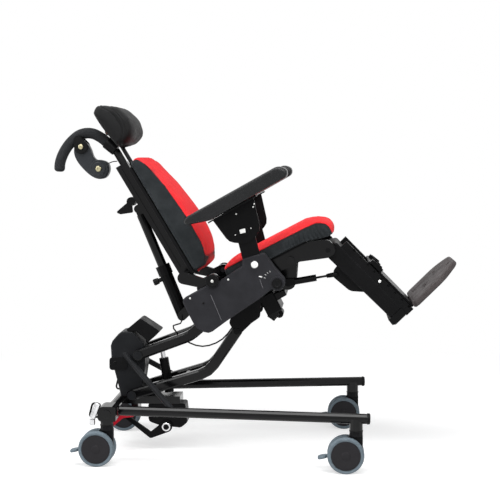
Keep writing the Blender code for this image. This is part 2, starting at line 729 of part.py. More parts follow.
def pump():
    body = rounded([(PUMP_REAR_X, PUMP_BOTTOM + 0.012, 0.012), (PUMP_REAR_X + 0.035, PUMP_BOTTOM, 0.008),
                    (PUMP_FRONT_X - 0.020, PUMP_BOTTOM - 0.006, 0.008), (PUMP_FRONT_X, PUMP_BOTTOM + 0.010, 0.008),
                    (PUMP_FRONT_X - 0.006, BEAM_BOTTOM - GAP, 0.006), (PUMP_REAR_X, BEAM_BOTTOM - GAP, 0.006)])
    housing = node("pump_body", slab(body, -PUMP_HALF, PUMP_HALF), "satin_black", "base", bevel=0.002)
    arm_inner = PUMP_HALF + RUN
    weld(housing, cross_pin(*PEDAL_PIVOT, PIN_RADIUS, -PUMP_HALF + 0.004, -arm_inner - PEDAL_ARM - RUN),
         cross_pin(*PEDAL_PIVOT, PIN_HEAD_RADIUS, -arm_inner - PEDAL_ARM - RUN + 0.0005,
                   -arm_inner - PEDAL_ARM - PIN_HEAD))

    pivot = in_world(PEDAL_PIVOT)
    axis_empty("pump_pedal_axis", pivot, "base")
    x, z = PEDAL_PIVOT
    half = PEDAL_ARM_DEPTH / 2.0
    shank = hull_of_discs([(x, z, PEDAL_BOSS_RADIUS), (x - 0.046, z - 0.026, half)], 16)
    pedal = node("pump_pedal", slab(shank, -arm_inner - PEDAL_ARM, -arm_inner), "satin_black", "pump_pedal_axis")
    rise = hull_of_discs([(x - 0.046, z - 0.026, half), (PEDAL_PAD[1], PEDAL_PAD_Z - 0.006, half * 0.7)], 16)
    pad = rounded([(PEDAL_PAD[0], PEDAL_PAD_Z, 0.004), (PEDAL_PAD[1] + 0.004, PEDAL_PAD_Z - 0.012, 0.004),
                   (PEDAL_PAD[1] + 0.004, PEDAL_PAD_Z + 0.002, 0.004), (PEDAL_PAD[0], PEDAL_PAD_Z + 0.012, 0.004)])
    weld(pedal, slab(rise, -arm_inner - PEDAL_ARM, -arm_inner), slab(pad, -arm_inner - PEDAL_ARM, 0.040))
    cut(pedal, cross_pin(x, z, PIN_RADIUS + GAP, -arm_inner - PEDAL_ARM - 0.01, -arm_inner + 0.01))

    axis_empty("release_pedal_axis", in_world(RELEASE_PIVOT), "base")
    x, z = RELEASE_PIVOT
    y0 = -BEAM_HALF - 0.012 - RELEASE_WIDTH
    y1 = -BEAM_HALF - 0.012
    blade = rounded([(x + 0.006, z - 0.006, 0.004), (x + 0.006, z + 0.008, 0.004), (x - 0.030, z + 0.004, 0.010),
                     (x - RELEASE_LENGTH, z - 0.028, 0.003), (x - RELEASE_LENGTH + 0.003, z - 0.038, 0.003),
                     (x - 0.026, z - 0.010, 0.010)])
    release = node("release_pedal", slab(blade, y0, y1), "red_pedal", "release_pedal_axis")
    weld(release, block(x - 0.006, x + 0.006, y1 - 0.004, -RELEASE_LUG_HALF - GAP, z - 0.005, z + 0.007))


# Lifting arms

def arm_path(pivot, knee, y):
    """An arm's centre line from its tower pivot over its knee to its carriage pivot."""
    corners = [(0.0, 0.0), knee, ARM_REACH]
    return bent_path([in_world((pivot[0] + x, pivot[1] + z), y) for x, z in corners], ARM_BEND, math.radians(18.0))


def arm_pair(level, pivot, knee, cross):
    inner = TOWER_HALF + RUN
    group = f"{level}_arm_axis"
    axis_empty(group, in_world(pivot), "base")
    for word, side in SIDES.items():
        y = side * (inner + ARM_WIDTH / 2.0)
        path = arm_path(pivot, knee, y)
        arm = node(f"{level}_arm_{word}", sweep(path, box_section(ARM_WIDTH, ARM_DEPTH, 0.006)),
                   "gloss_black", group)
        ends = [(pivot[0], pivot[1]), (pivot[0] + ARM_REACH[0], pivot[1] + ARM_REACH[1])]
        face = both_sides(inner, inner + ARM_WIDTH, side)
        weld(arm, *[cross_pin(x, z, ARM_DEPTH / 2.0, *face) for x, z in ends])
        if word == "right":
            x = pivot[0] + cross[0]
            z = pivot[1] + cross[1]
            weld(arm, cross_pin(x, z, ARM_CROSS_RADIUS, -inner - 0.006, inner - GAP))
        cut(arm, *[cross_pin(x, z, PIN_RADIUS + GAP, face[0] - 0.01, face[1] + 0.01) for x, z in ends])


def lift_cylinder():
    top = Vector(in_world((UPPER_PIVOT[0] + UPPER_CROSS[0], UPPER_PIVOT[1] + UPPER_CROSS[1])))
    foot = Vector(in_world(LIFT_FOOT))
    along = (top - foot).normalized()
    seat = BEAM_TOP + 0.003
    start = foot + along * ((seat - foot.z) / along.z + LIFT_CYLINDER_RADIUS * 0.3)
    mouth = start + along * LIFT_CYLINDER_LENGTH
    body = node("lift_cylinder", rod(start, mouth, LIFT_CYLINDER_RADIUS), "satin_black", "base")
    cut(body, rod(mouth + along * 0.002, start + along * 0.020, LIFT_ROD_RADIUS + GAP))
    axis_empty("lift_rod_axis", mouth, "base")
    node("lift_rod", rod(start + along * LIFT_CYLINDER_LENGTH * 0.5, top - along * (ARM_CROSS_RADIUS + GAP), LIFT_ROD_RADIUS),
         "bright_steel", "lift_rod_axis")


# Carriage

def carriage():
    plate_y = TOWER_HALF + ARM_WIDTH + 2.0 * RUN
    lower = (LOWER_PIVOT[0] + ARM_REACH[0], LOWER_PIVOT[1] + ARM_REACH[1])
    upper = (UPPER_PIVOT[0] + ARM_REACH[0], UPPER_PIVOT[1] + ARM_REACH[1])
    axis_empty("carriage_axis", in_world(lower), "lower_arm_axis")
    foot = SEAT.at(LOCK_BLOCK[0], 0.0, LOCK_BLOCK[2])
    toe = SEAT.at(LOCK_BLOCK[1], 0.0, LOCK_BLOCK[2])
    back_x = WORLD.matrix.translation.x
    outline = hull_of_discs([(*lower, 0.023), (*upper, 0.021), (*TILT_PIVOT, 0.021),
                             (foot.x - back_x, foot.z + 0.012, 0.010), (toe.x - back_x - 0.004, toe.z + 0.010, 0.010)])
    for word, side in SIDES.items():
        y0, y1 = both_sides(plate_y, plate_y + PLATE, side)
        plate = node(f"carriage_plate_{word}", slab(outline, y0, y1), "satin_black", "carriage_axis")
        pins = []
        for x, z in (lower, upper):
            pins.append(cross_pin(x, z, PIN_RADIUS, side * (TOWER_HALF + RUN), side * (plate_y + 0.002)))
            pins.append(cross_pin(x, z, PIN_HEAD_RADIUS, side * (plate_y + PLATE - 0.001),
                                  side * (plate_y + PLATE + PIN_HEAD)))
        weld(plate, *pins)
        cut(plate, cross_pin(*TILT_PIVOT, TILT_AXLE_RADIUS + GAP, side * (plate_y - 0.01), side * (plate_y + 0.02)))
    s0, s1, n0, n1 = LOCK_BLOCK
    span = plate_y - GAP
    lock = node("carriage_block", block(s0, s1, -span, span, n0, n1, SEAT), "satin_black", "carriage_axis",
                bevel=0.003)
    can = SEAT.at((s0 + s1) / 2.0 + 0.006, 0.0, n0 - 0.010)
    weld(lock, rod((can.x, -0.030, can.z), (can.x, 0.030, can.z), LOCK_CAN_RADIUS))
    axle_end = plate_y + PLATE + TILT_EAR + 2.0 * RUN
    node("tilt_axle", cross_pin(*TILT_PIVOT, TILT_AXLE_RADIUS, -axle_end, axle_end), "satin_black", "carriage_axis")


# Seat

def seat():
    axis_empty("tilt_axis", TILT_AXIS, "carriage_axis")
    inner = SEAT_RAIL_INNER
    outer = inner + SEAT_RAIL_WIDTH
    low = SEAT_RAIL_TOP - SEAT_RAIL_DEPTH
    reach = PANEL_INNER - GAP
    ear_y = TOWER_HALF + ARM_WIDTH + 2.0 * RUN + PLATE + RUN
    outline = rounded([(SEAT_RAIL_REAR, low, 0.006), (0.060, low - 0.004, 0.0),
                       (KNEE[0] - 0.010, KNEE[1] - KNEE_RADIUS, 0.0),
                       (KNEE[0] + KNEE_RADIUS, KNEE[1] - KNEE_RADIUS, 0.017),
                       (KNEE[0] + KNEE_RADIUS, KNEE[1] + KNEE_RADIUS + 0.004, 0.016),
                       (0.110, SEAT_RAIL_TOP, 0.0), (-0.155, SEAT_RAIL_TOP, 0.0), (-0.180, REAR_CROSS[1] + 0.011, 0.006),
                       (SEAT_RAIL_REAR, REAR_CROSS[1] + 0.011, 0.008)])
    ear = hull_of_discs([(0.0, 0.0, TILT_AXLE_RADIUS + 0.010), (-0.030, low + 0.010, 0.008),
                         (0.050, low + 0.010, 0.008)], 16)
    frame = node("seat_frame", cross_pin(*REAR_CROSS, SEAT_CROSS_RADIUS, -reach, reach, SEAT),
                 "gloss_black", "tilt_axis")
    adds = [cross_pin(*FRONT_CROSS, SEAT_CROSS_RADIUS, -reach, reach, SEAT)]
    cuts = []
    for side in SIDES.values():
        adds += [slab(outline, *both_sides(inner, outer, side), SEAT),
                 slab(ear, *both_sides(ear_y, ear_y + TILT_EAR, side), SEAT),
                 block(-0.036, 0.056, *both_sides(ear_y + 0.001, inner + 0.004, side), low + 0.003, low + 0.012, SEAT)]
        cuts += [cross_pin(0.0, 0.0, TILT_AXLE_RADIUS + RUN, side * (ear_y - 0.01), side * (ear_y + 0.02), SEAT),
                 cross_pin(*KNEE, KNEE_PIN_RADIUS + GAP, side * (inner - 0.01), side * (outer + 0.01), SEAT)]
        web = hull_of_discs([(*REAR_CROSS, 0.014), (*STRUT_FOOT, 0.014)], 16)
        adds.append(slab(web, *both_sides(STRUT_EAR_INNER, STRUT_EAR_INNER + STRUT_EAR, side), SEAT))
    adds.append(cross_pin(*STRUT_FOOT, PIN_RADIUS, -STRUT_EAR_INNER - 0.002, STRUT_EAR_INNER + 0.002, SEAT))
    weld(frame, *adds)
    cut(frame, *cuts)

    pan_low = SEAT_RAIL_TOP + GAP
    node("seat_pan", block(SEAT_PAN_REAR, SEAT_PAN_FRONT, -outer, outer, pan_low, pan_low + SEAT_PAN, SEAT),
         "satin_black", "tilt_axis")
    cushion()
    panels()


def cushion():
    low = SEAT_RAIL_TOP + SEAT_PAN + 2.0 * GAP
    top = SEAT_CUSHION_TOP
    outline = rounded([(SEAT_CUSHION_REAR, low, 0.010), (0.106, low, 0.004), (0.116, 0.076, 0.006),
                       (SEAT_CUSHION_FRONT - 0.006, 0.058, 0.014), (SEAT_CUSHION_FRONT, 0.100, 0.030),
                       (SEAT_CUSHION_FRONT - 0.030, top, 0.040), (SEAT_CUSHION_REAR, top, 0.014)], math.radians(18.0))
    node("seat_cushion", lofted_pad(outline, SEAT_CUSHION_HALF, SEAT, 0.010, SEAT_CROWN, 11, (0.0, 1.0)),
         "red_cover", "tilt_axis", smooth=60.0)


def panels():
    outline = rounded([(PANEL_REAR, PANEL_TOP - 0.006, 0.014), (-0.2000, PANEL_TOP - 0.004, 0.0),
                       (-0.1660, PANEL_TOP - 0.010, 0.010), (-0.0850, PANEL_TOP, 0.006),
                       (-0.0750, PANEL_TOP + 0.0170, 0.008), (-0.0120, PANEL_TOP + 0.0050, 0.010),
                       (PANEL_NOSE - 0.010, 0.0600, 0.020), (PANEL_NOSE, 0.0200, 0.012), (-0.0060, 0.0000, 0.010),
                       (-0.0400, 0.0100, 0.010), (-0.0820, 0.0020, 0.020), (-0.1950, -0.0120, 0.0),
                       (PANEL_REAR + 0.0240, PANEL_BOTTOM, 0.022), (PANEL_REAR, 0.0100, 0.020)][::-1])
    for word, side in SIDES.items():
        y0, y1 = both_sides(PANEL_INNER, PANEL_INNER + PANEL_THICKNESS, side)
        panel = node(f"side_panel_{word}", slab(outline, y0, y1, SEAT), "panel_grey", "tilt_axis", bevel=0.003)
        post = post_frame()
        post_y = post_centre()
        clear = 0.0006
        pocket = block(-POST_WIDTH / 2.0 - clear, POST_WIDTH / 2.0 + clear,
                       *both_sides(post_y - POST_THICKNESS / 2.0 - clear, post_y + POST_THICKNESS / 2.0 + clear, side),
                       -POST_SEAT_DEPTH - clear, POST_SEAT_DEPTH + 0.06, post)
        cut(panel, pocket)
        barrel = cross_pin(*RECLINE_PIVOT, 0.0075, side * (HINGE_ARM_INNER - 0.001), side * (PANEL_INNER + 0.004), SEAT)
        knob = cross_pin(*RECLINE_PIVOT, 0.0180, side * (PANEL_INNER + PANEL_THICKNESS - 0.002),
                         side * (PANEL_INNER + PANEL_THICKNESS + 0.010), SEAT, 20)
        dial = cross_pin(-0.0200, 0.0180, 0.0200, side * (PANEL_INNER + PANEL_THICKNESS - 0.002),
                         side * (PANEL_INNER + PANEL_THICKNESS + 0.0025), SEAT, 20)
        weld(panel, slab(disc(*RECLINE_PIVOT, 0.0165), y0, y1, SEAT), barrel, knob, dial)


def post_centre():
    return PANEL_INNER + PANEL_THICKNESS / 2.0


def post_frame():
    """The armrest post's own frame: z runs up the post from the panel's top edge."""
    foot = SEAT.at(POST_FOOT[0], 0.0, POST_FOOT[1])
    return Frame(foot.x, foot.z, POST_LEAN)


def armrests():
    post = post_frame()
    y = post_centre()
    for word, side in SIDES.items():
        lift = f"armrest_post_axis_{word}"
        axis_empty(lift, post.at(0.0, side * y, 0.0), "tilt_axis")
        y0, y1 = both_sides(y - POST_THICKNESS / 2.0, y + POST_THICKNESS / 2.0, side)
        outline = rounded([(-POST_WIDTH / 2.0, -POST_SEAT_DEPTH, 0.003), (POST_WIDTH / 2.0, -POST_SEAT_DEPTH, 0.003),
                           (POST_WIDTH / 2.0, POST_LENGTH, 0.022), (-POST_WIDTH / 2.0, POST_LENGTH, 0.022)])
        stud = y + POST_THICKNESS / 2.0
        stalk = node(f"armrest_post_{word}", slab(outline, y0, y1, post), "satin_black", lift, bevel=0.0015)
        weld(stalk, cross_pin(0.0, ARM_TILT_UP, PIN_RADIUS, side * (stud - 0.002),
                              side * (stud + BRACKET_PLATE + 2.0 * RUN), post),
             cross_pin(0.0, ARM_TILT_UP, PIN_HEAD_RADIUS, side * (stud + BRACKET_PLATE + 2.0 * RUN - 0.0005),
                       side * (stud + BRACKET_PLATE + PIN_HEAD), post))
        pivot = post.at(0.0, side * y, ARM_TILT_UP)
        turn = f"armrest_tilt_axis_{word}"
        axis_empty(turn, pivot, lift)
        rest = Frame(pivot.x, pivot.z, PAD_LEAN)
        plate_y0, plate_y1 = both_sides(stud + RUN, stud + RUN + BRACKET_PLATE, side)
        under = PAD_OVER_PIVOT - GAP
        flap = rounded([(-BRACKET_RADIUS, under, 0.0), (-0.052, -0.006, 0.030), (-0.010, -0.034, 0.030),
                        (0.040, -0.022, 0.030), (BRACKET_RADIUS + 0.006, under, 0.0)])
        bracket = node(f"armrest_bracket_{word}", slab(flap, plate_y0, plate_y1, rest), "satin_black", turn)
        shelf_y0, shelf_y1 = both_sides(y - 0.001, y + PAD_OUTBOARD + 0.020, side)
        weld(bracket, block(-BRACKET_RADIUS - 0.010, BRACKET_RADIUS + 0.016, shelf_y0, shelf_y1,
                            under - 0.004, under, rest))
        cut(bracket, cross_pin(0.0, ARM_TILT_UP, PIN_RADIUS + GAP, side * stud, side * (stud + 0.02), post))
        armrest_pad(word, side, rest, turn, y)


def armrest_pad(word, side, rest, turn, y):
    low = PAD_OVER_PIVOT
    front = PAD_LENGTH - PAD_REAR
    outline = rounded([(-PAD_REAR, low + PAD_END_RISE, 0.008), (-BRACKET_RADIUS, low, 0.030),
                       (front - 0.013, low + 0.001, 0.012), (front, low + 0.018, 0.014),
                       (front - 0.020, low + PAD_THICKNESS - 0.001, 0.020),
                       (-PAD_REAR + 0.002, low + PAD_THICKNESS, 0.010)], math.radians(30.0))
    centre = side * (y + PAD_OUTBOARD)
    shifted = Matrix.Translation((0.0, centre, 0.0))
    bm = lofted_pad(outline, PAD_WIDTH / 2.0, rest, 0.007, 0.0, 9, (0.0, 1.0))
    bmesh.ops.transform(bm, matrix=shifted, verts=bm.verts)
    node(f"armrest_pad_{word}", bm, "pad_black", turn, smooth=60.0)


# Back

def back():
    axis_empty("recline_axis", RECLINE_AXIS, "tilt_axis")
    back_frame()
    shell_rear = BACK_CUSHION_REAR - GAP - SHELL_THICKNESS
    outline = rounded([(shell_rear, BACK_CUSHION_BOTTOM + 0.010, 0.003),
                       (BACK_CUSHION_REAR - GAP, BACK_CUSHION_BOTTOM + 0.006, 0.003),
                       (BACK_CUSHION_REAR - GAP, BACK_CUSHION_TOP - 0.020, 0.003),
                       (shell_rear, BACK_CUSHION_TOP - 0.030, 0.003)])
    shell = node("back_shell", slab(outline, -SHELL_HALF, SHELL_HALF, BACK), "satin_black", "recline_axis", bevel=0.002)
    cut(shell, block(HEAD_STEM_X - 0.020, HEAD_STEM_X + HEAD_STEM_RADIUS + RUN, -HEAD_STEM_RADIUS - RUN,
                     HEAD_STEM_RADIUS + RUN, HEAD_STEM_FOOT - 0.060, BACK_CUSHION_TOP + 0.02, BACK))
    back_cushion()


def back_frame():
    """Two rails on a cross tube, with the hinge arms out to the panels and the strut's bracket."""
    rear = BACK_RAIL_FRONT - BACK_RAIL_DEPTH
    inner = BACK_RAIL_CENTRE - BACK_RAIL_WIDTH / 2.0
    outer = BACK_RAIL_CENTRE + BACK_RAIL_WIDTH / 2.0
    middle = BACK_RAIL_FRONT - BACK_RAIL_DEPTH / 2.0
    reach = HINGE_ARM_INNER + HINGE_ARM_WIDTH - 0.002
    frame = node("back_frame", cross_pin(middle, BACK_CROSS_Z, BACK_CROSS_RADIUS, -reach, reach, BACK),
                 "gloss_black", "recline_axis")
    bend = (-0.030, 0.006, HINGE_ARM_RADIUS * 0.8)
    adds = []
    cuts = []
    for side in SIDES.values():
        arm_y = both_sides(HINGE_ARM_INNER, HINGE_ARM_INNER + HINGE_ARM_WIDTH, side)
        adds += [block(rear, BACK_RAIL_FRONT, *both_sides(inner, outer, side), BACK_RAIL_BOTTOM, BACK_RAIL_TOP, BACK),
                 slab(hull_of_discs([(0.0, 0.0, HINGE_ARM_RADIUS), bend], 20), *arm_y, BACK),
                 slab(hull_of_discs([bend, (middle, BACK_CROSS_Z, HINGE_ARM_RADIUS)], 20), *arm_y, BACK)]
        cuts += [block(middle - 0.005, middle + 0.005, *both_sides(outer - 0.005, outer + 0.01, side),
                       BACK_CROSS_Z + 0.030, BACK_RAIL_TOP + 0.01, BACK),
                 cross_pin(0.0, 0.0, 0.0075 + GAP, side * (HINGE_ARM_INNER - 0.01), side * (PANEL_INNER + 0.01), BACK)]
        ear = hull_of_discs([(*STRUT_TOP, 0.012), (rear + 0.014, STRUT_TOP[1] - 0.002, 0.012)], 16)
        adds.append(slab(ear, *both_sides(0.0100, 0.0140, side), BACK))
    lever_x, lever_z = STRUT_LEVER
    adds += [block(rear + 0.024, BACK_RAIL_FRONT - 0.006, -inner - 0.002, inner + 0.002, STRUT_TOP[1] - 0.016,
                   lever_z + 0.009, BACK),
             block(rear + 0.010, rear + 0.026, -inner - 0.002, inner + 0.002, STRUT_TOP[1] - 0.016,
                   STRUT_TOP[1] + 0.012, BACK),
             block(lever_x + 0.0130 + GAP, rear + 0.026, -0.0125, 0.0125, lever_z - 0.006, lever_z + 0.007, BACK)]
    weld(frame, *adds)
    cut(frame, *cuts)


def back_cushion():
    low = BACK_CUSHION_BOTTOM
    top = BACK_CUSHION_TOP
    rear = BACK_CUSHION_REAR
    front = rear + BACK_CUSHION_DEPTH
    outline = rounded([(rear, low, 0.010), (front - 0.034, low, 0.010), (front - 0.006, low + 0.050, 0.060),
                       (front, low + 0.150, 0.120), (front - 0.012, top - 0.110, 0.080),
                       (front - 0.030, top - 0.030, 0.024), (front - 0.046, top, 0.016), (rear, top, 0.014)],
                      math.radians(20.0))
    node("back_cushion", lofted_pad(outline, BACK_CUSHION_HALF, BACK, 0.012, BACK_CROWN, 11, (1.0, 0.0)),
         "red_cover", "recline_axis", smooth=60.0)


def push_handle():
    foot = [BACK.at(HANDLE_X, 0.0, HANDLE_FOOT_Z), BACK.at(HANDLE_X, 0.0, HANDLE_GRIP_Z - GAP)]
    tube = node("handle_tube", rod(*foot, HANDLE_TUBE_RADIUS), "gloss_black", "recline_axis")
    clamp = BACK_RAIL_CENTRE - BACK_RAIL_WIDTH / 2.0 - GAP
    weld(tube, block(HANDLE_X - 0.012, BACK_CUSHION_REAR - SHELL_THICKNESS - 2.0 * GAP, -clamp, clamp,
                     CLAMP_BOTTOM, CLAMP_TOP, BACK))
    cut(tube, rod(BACK.at(HEAD_STEM_X, 0.0, CLAMP_BOTTOM - 0.01), BACK.at(HEAD_STEM_X, 0.0, CLAMP_TOP + 0.01),
                  HEAD_STEM_RADIUS + GAP, 12))
    points = [BACK.at(x, 0.0, z) for x, z in GRIP_LINE]
    grip = node("handle_grip", sweep(smooth_line(points, 17), circle(HANDLE_GRIP_RADIUS)), "pad_black",
                "recline_axis", smooth=60.0)
    collar = rod(BACK.at(HANDLE_X, 0.0, HANDLE_GRIP_Z), BACK.at(HANDLE_X, 0.0, HANDLE_GRIP_Z + 0.018),
                 HANDLE_GRIP_RADIUS + 0.0005)
    ears = []
    for side in SIDES.values():
        outline = hull_of_discs([(*LEVER_PIVOT, LEVER_EAR_RADIUS), (LEVER_PIVOT[0] + 0.004, HANDLE_TOP - 0.010, 0.010)], 16)
        y0, y1 = both_sides(LEVER_HALF + RUN, LEVER_HALF + RUN + LEVER_EAR, side)
        ears.append(slab(outline, y0, y1, BACK))
    saddle = block(LEVER_PIVOT[0] - 0.008, LEVER_PIVOT[0] + 0.016, -LEVER_HALF - RUN - LEVER_EAR + 0.0005,
                   LEVER_HALF + RUN + LEVER_EAR - 0.0005, HANDLE_TOP - 0.014, HANDLE_TOP - 0.004, BACK)
    weld(grip, collar, saddle, *ears)

    pivot = BACK.at(LEVER_PIVOT[0], 0.0, LEVER_PIVOT[1])
    axis_empty("hand_lever_axis", pivot, "recline_axis")
    blade = hull_of_discs([(*LEVER_PIVOT, LEVER_TOP_RADIUS), (*LEVER_END, LEVER_END_RADIUS)], 24)
    node("hand_lever", slab(blade, -LEVER_HALF, LEVER_HALF, BACK), "panel_grey", "hand_lever_axis", bevel=0.004)
    start = BACK.at(LEVER_END[0] + LEVER_END_RADIUS + GAP, 0.0, LEVER_END[1] + 0.002)
    end = BACK.at(HANDLE_X - HANDLE_TUBE_RADIUS - LEVER_CABLE_RADIUS + 0.0004, 0.0, LEVER_END[1] - 0.006)
    cable_curve("lever_cable", [start, start.lerp(end, 0.5) + Vector((0.0, 0.0, 0.002)), end], LEVER_CABLE_RADIUS, "recline_axis", 6)
    return tube


def cable_curve(name, route, radius, group, count):
    """A cable as a curve with filled ends, through points read off a smooth line."""
    points = smooth_line(route, count)
    data = bpy.data.curves.new(name, "CURVE")
    data.dimensions = "3D"
    data.bevel_depth = radius
    data.bevel_resolution = 1
    data.use_fill_caps = True
    data.materials.append(material("satin_black"))
    spline = data.splines.new("POLY")
    spline.points.add(len(points) - 1)
    for point, here in zip(spline.points, points):
        point.co = (*(here - AXES[group]), 1.0)
    obj = bpy.data.objects.new(name, data)
    bpy.context.scene.collection.objects.link(obj)
    obj.parent = bpy.data.objects[group]
    return obj


def smooth_line(route, count):
    """Points read off a Catmull-Rom line through the route's points."""
    ends = [route[0] * 2.0 - route[1]] + list(route) + [route[-1] * 2.0 - route[-2]]
    spans = len(route) - 1
    points = []
    for k in range(count):
        place = k * spans / (count - 1)
        i = min(int(place), spans - 1)
        t = place - i
        a, b, c, d = ends[i:i + 4]
        points.append(0.5 * (b * 2.0 + (c - a) * t + (a * 2.0 - b * 5.0 + c * 4.0 - d) * t * t
                             + (b * 3.0 - a - c * 3.0 + d) * t * t * t))
    return points


# Headrest

def headrest():
    foot = BACK.at(HEAD_STEM_X, 0.0, HEAD_STEM_FOOT)
    axis_empty("headrest_height_axis", foot, "recline_axis")
    x, z = HEAD_PIVOT
    stem = node("headrest_stem", rod(foot, BACK.at(HEAD_STEM_X, 0.0, z), HEAD_STEM_RADIUS, 12), "gloss_black",
                "headrest_height_axis")
    front = HEAD_STEM_RADIUS + GAP
    cheek = HEAD_BLOCK_WIDTH / 2.0 + RUN
    # the clamp block's lower rear edge is cut off, so that the block clears the grip when the headrest is low
    clamp = [(x - front, z + 0.003), (x + 0.0045, z - HEAD_BLOCK_HALF), (HEAD_STEM_X + front, z - HEAD_BLOCK_HALF),
             (HEAD_STEM_X + front, z + HEAD_BLOCK_HALF), (x - front, z + HEAD_BLOCK_HALF)]
    weld(stem, slab(clamp, -HEAD_BLOCK_WIDTH / 2.0, HEAD_BLOCK_WIDTH / 2.0, BACK),
         cross_pin(x, z, HEAD_STUD_RADIUS, -cheek - HEAD_CHEEK - 2.0 * RUN, cheek + HEAD_CHEEK, BACK, 10),
         cross_pin(x, z, HEAD_KNOB_RADIUS, -cheek - HEAD_CHEEK - HEAD_KNOB_LENGTH, -cheek - HEAD_CHEEK - RUN, BACK, 14))
    pivot = BACK.at(x, 0.0, z)
    axis_empty("headrest_tilt_axis", pivot, "headrest_height_axis")
    head = Frame(pivot.x, pivot.z, BACK_LEAN)
    half = HEAD_HEIGHT / 2.0
    rear = HEAD_REAR
    outline = rounded([(rear + HEAD_DEPTH * 0.12, -half * 0.88, 0.006), (rear + HEAD_DEPTH * 0.45, -half, 0.030),
                       (rear + HEAD_DEPTH * 0.87, -half * 0.86, 0.035), (rear + HEAD_DEPTH, -half * 0.15, 0.050),
                       (rear + HEAD_DEPTH * 0.83, half * 0.57, 0.050), (rear + HEAD_DEPTH * 0.27, half * 1.10, 0.020),
                       (rear, half * 0.86, 0.008)], math.radians(18.0))
    pad = node("headrest_pad", lofted_pad(outline, HEAD_HALF, head, 0.022, 0.0, 11), "pad_black", "headrest_tilt_axis",
               smooth=60.0)
    groove = cheek + HEAD_CHEEK + RUN
    cut(pad, block(rear - 0.010, rear + HEAD_GROOVE, -groove - HEAD_KNOB_LENGTH - RUN, groove, -half - 0.010,
                   HEAD_BLOCK_HALF + 0.004, head))
    cheeks = []
    for side in SIDES.values():
        plate = hull_of_discs([(0.0, 0.0, HEAD_STUD_RADIUS + 0.0035), (rear + HEAD_GROOVE + 0.003, 0.004, 0.005)], 12)
        cheeks.append(slab(plate, *both_sides(cheek, cheek + HEAD_CHEEK, side), head))
    weld(pad, *cheeks)
    cut(pad, cross_pin(0.0, 0.0, HEAD_STUD_RADIUS + GAP, -groove, groove, head, 10))
    return pad


# Recline strut

def recline_strut():
    foot = SEAT.at(STRUT_FOOT[0], 0.0, STRUT_FOOT[1])
    top = BACK.at(STRUT_TOP[0], 0.0, STRUT_TOP[1])
    along = (top - foot).normalized()
    axis_empty("strut_foot_axis", foot, "tilt_axis")
    lean = math.atan2(along.z, along.x)
    strut = Frame(foot.x, foot.z, lean)
    head = STRUT_HOUSING_LENGTH
    housing = node("recline_housing", rod(foot, foot + along * head, STRUT_HOUSING_RADIUS), "satin_black",
                   "strut_foot_axis")
    weld(housing, rod(foot + along * (head - 0.001), foot + along * (head + 0.028), STRUT_COLLAR_RADIUS))
    cut(housing, cross_pin(0.0, 0.0, PIN_RADIUS + GAP, -0.05, 0.05, strut),
        rod(foot + along * 0.030, foot + along * (head + 0.040), STRUT_SLEEVE_RADIUS + GAP))
    length = (top - foot).length
    axis_empty("strut_slide_axis", foot + along * head, "strut_foot_axis")
    sleeve = node("recline_sleeve", rod(foot + along * 0.105, foot + along * (length - 0.018), STRUT_SLEEVE_RADIUS),
                  "gloss_black", "strut_slide_axis")
    weld(sleeve, slab(hull_of_discs([(length - 0.022, 0.0, 0.010), (length, 0.0, 0.010)], 16), -0.0090, 0.0090, strut))

    x, z = STRUT_LEVER
    axis_empty("recline_lever_axis", BACK.at(x, 0.0, z), "recline_axis")
    knob = node("recline_lever", cross_pin(x, z, 0.0130, -0.030, 0.0125, BACK, 14), "panel_grey", "recline_lever_axis")
    blade = rounded([(x + 0.004, z + 0.006, 0.002), (x - STRUT_LEVER_LENGTH, z - 0.004, 0.004),
                     (x - STRUT_LEVER_LENGTH + 0.010, z - 0.016, 0.004), (x - 0.012, z - 0.030, 0.004)])
    weld(knob, slab(blade, -0.0240, -0.0200, BACK))


# Legrest and footboard

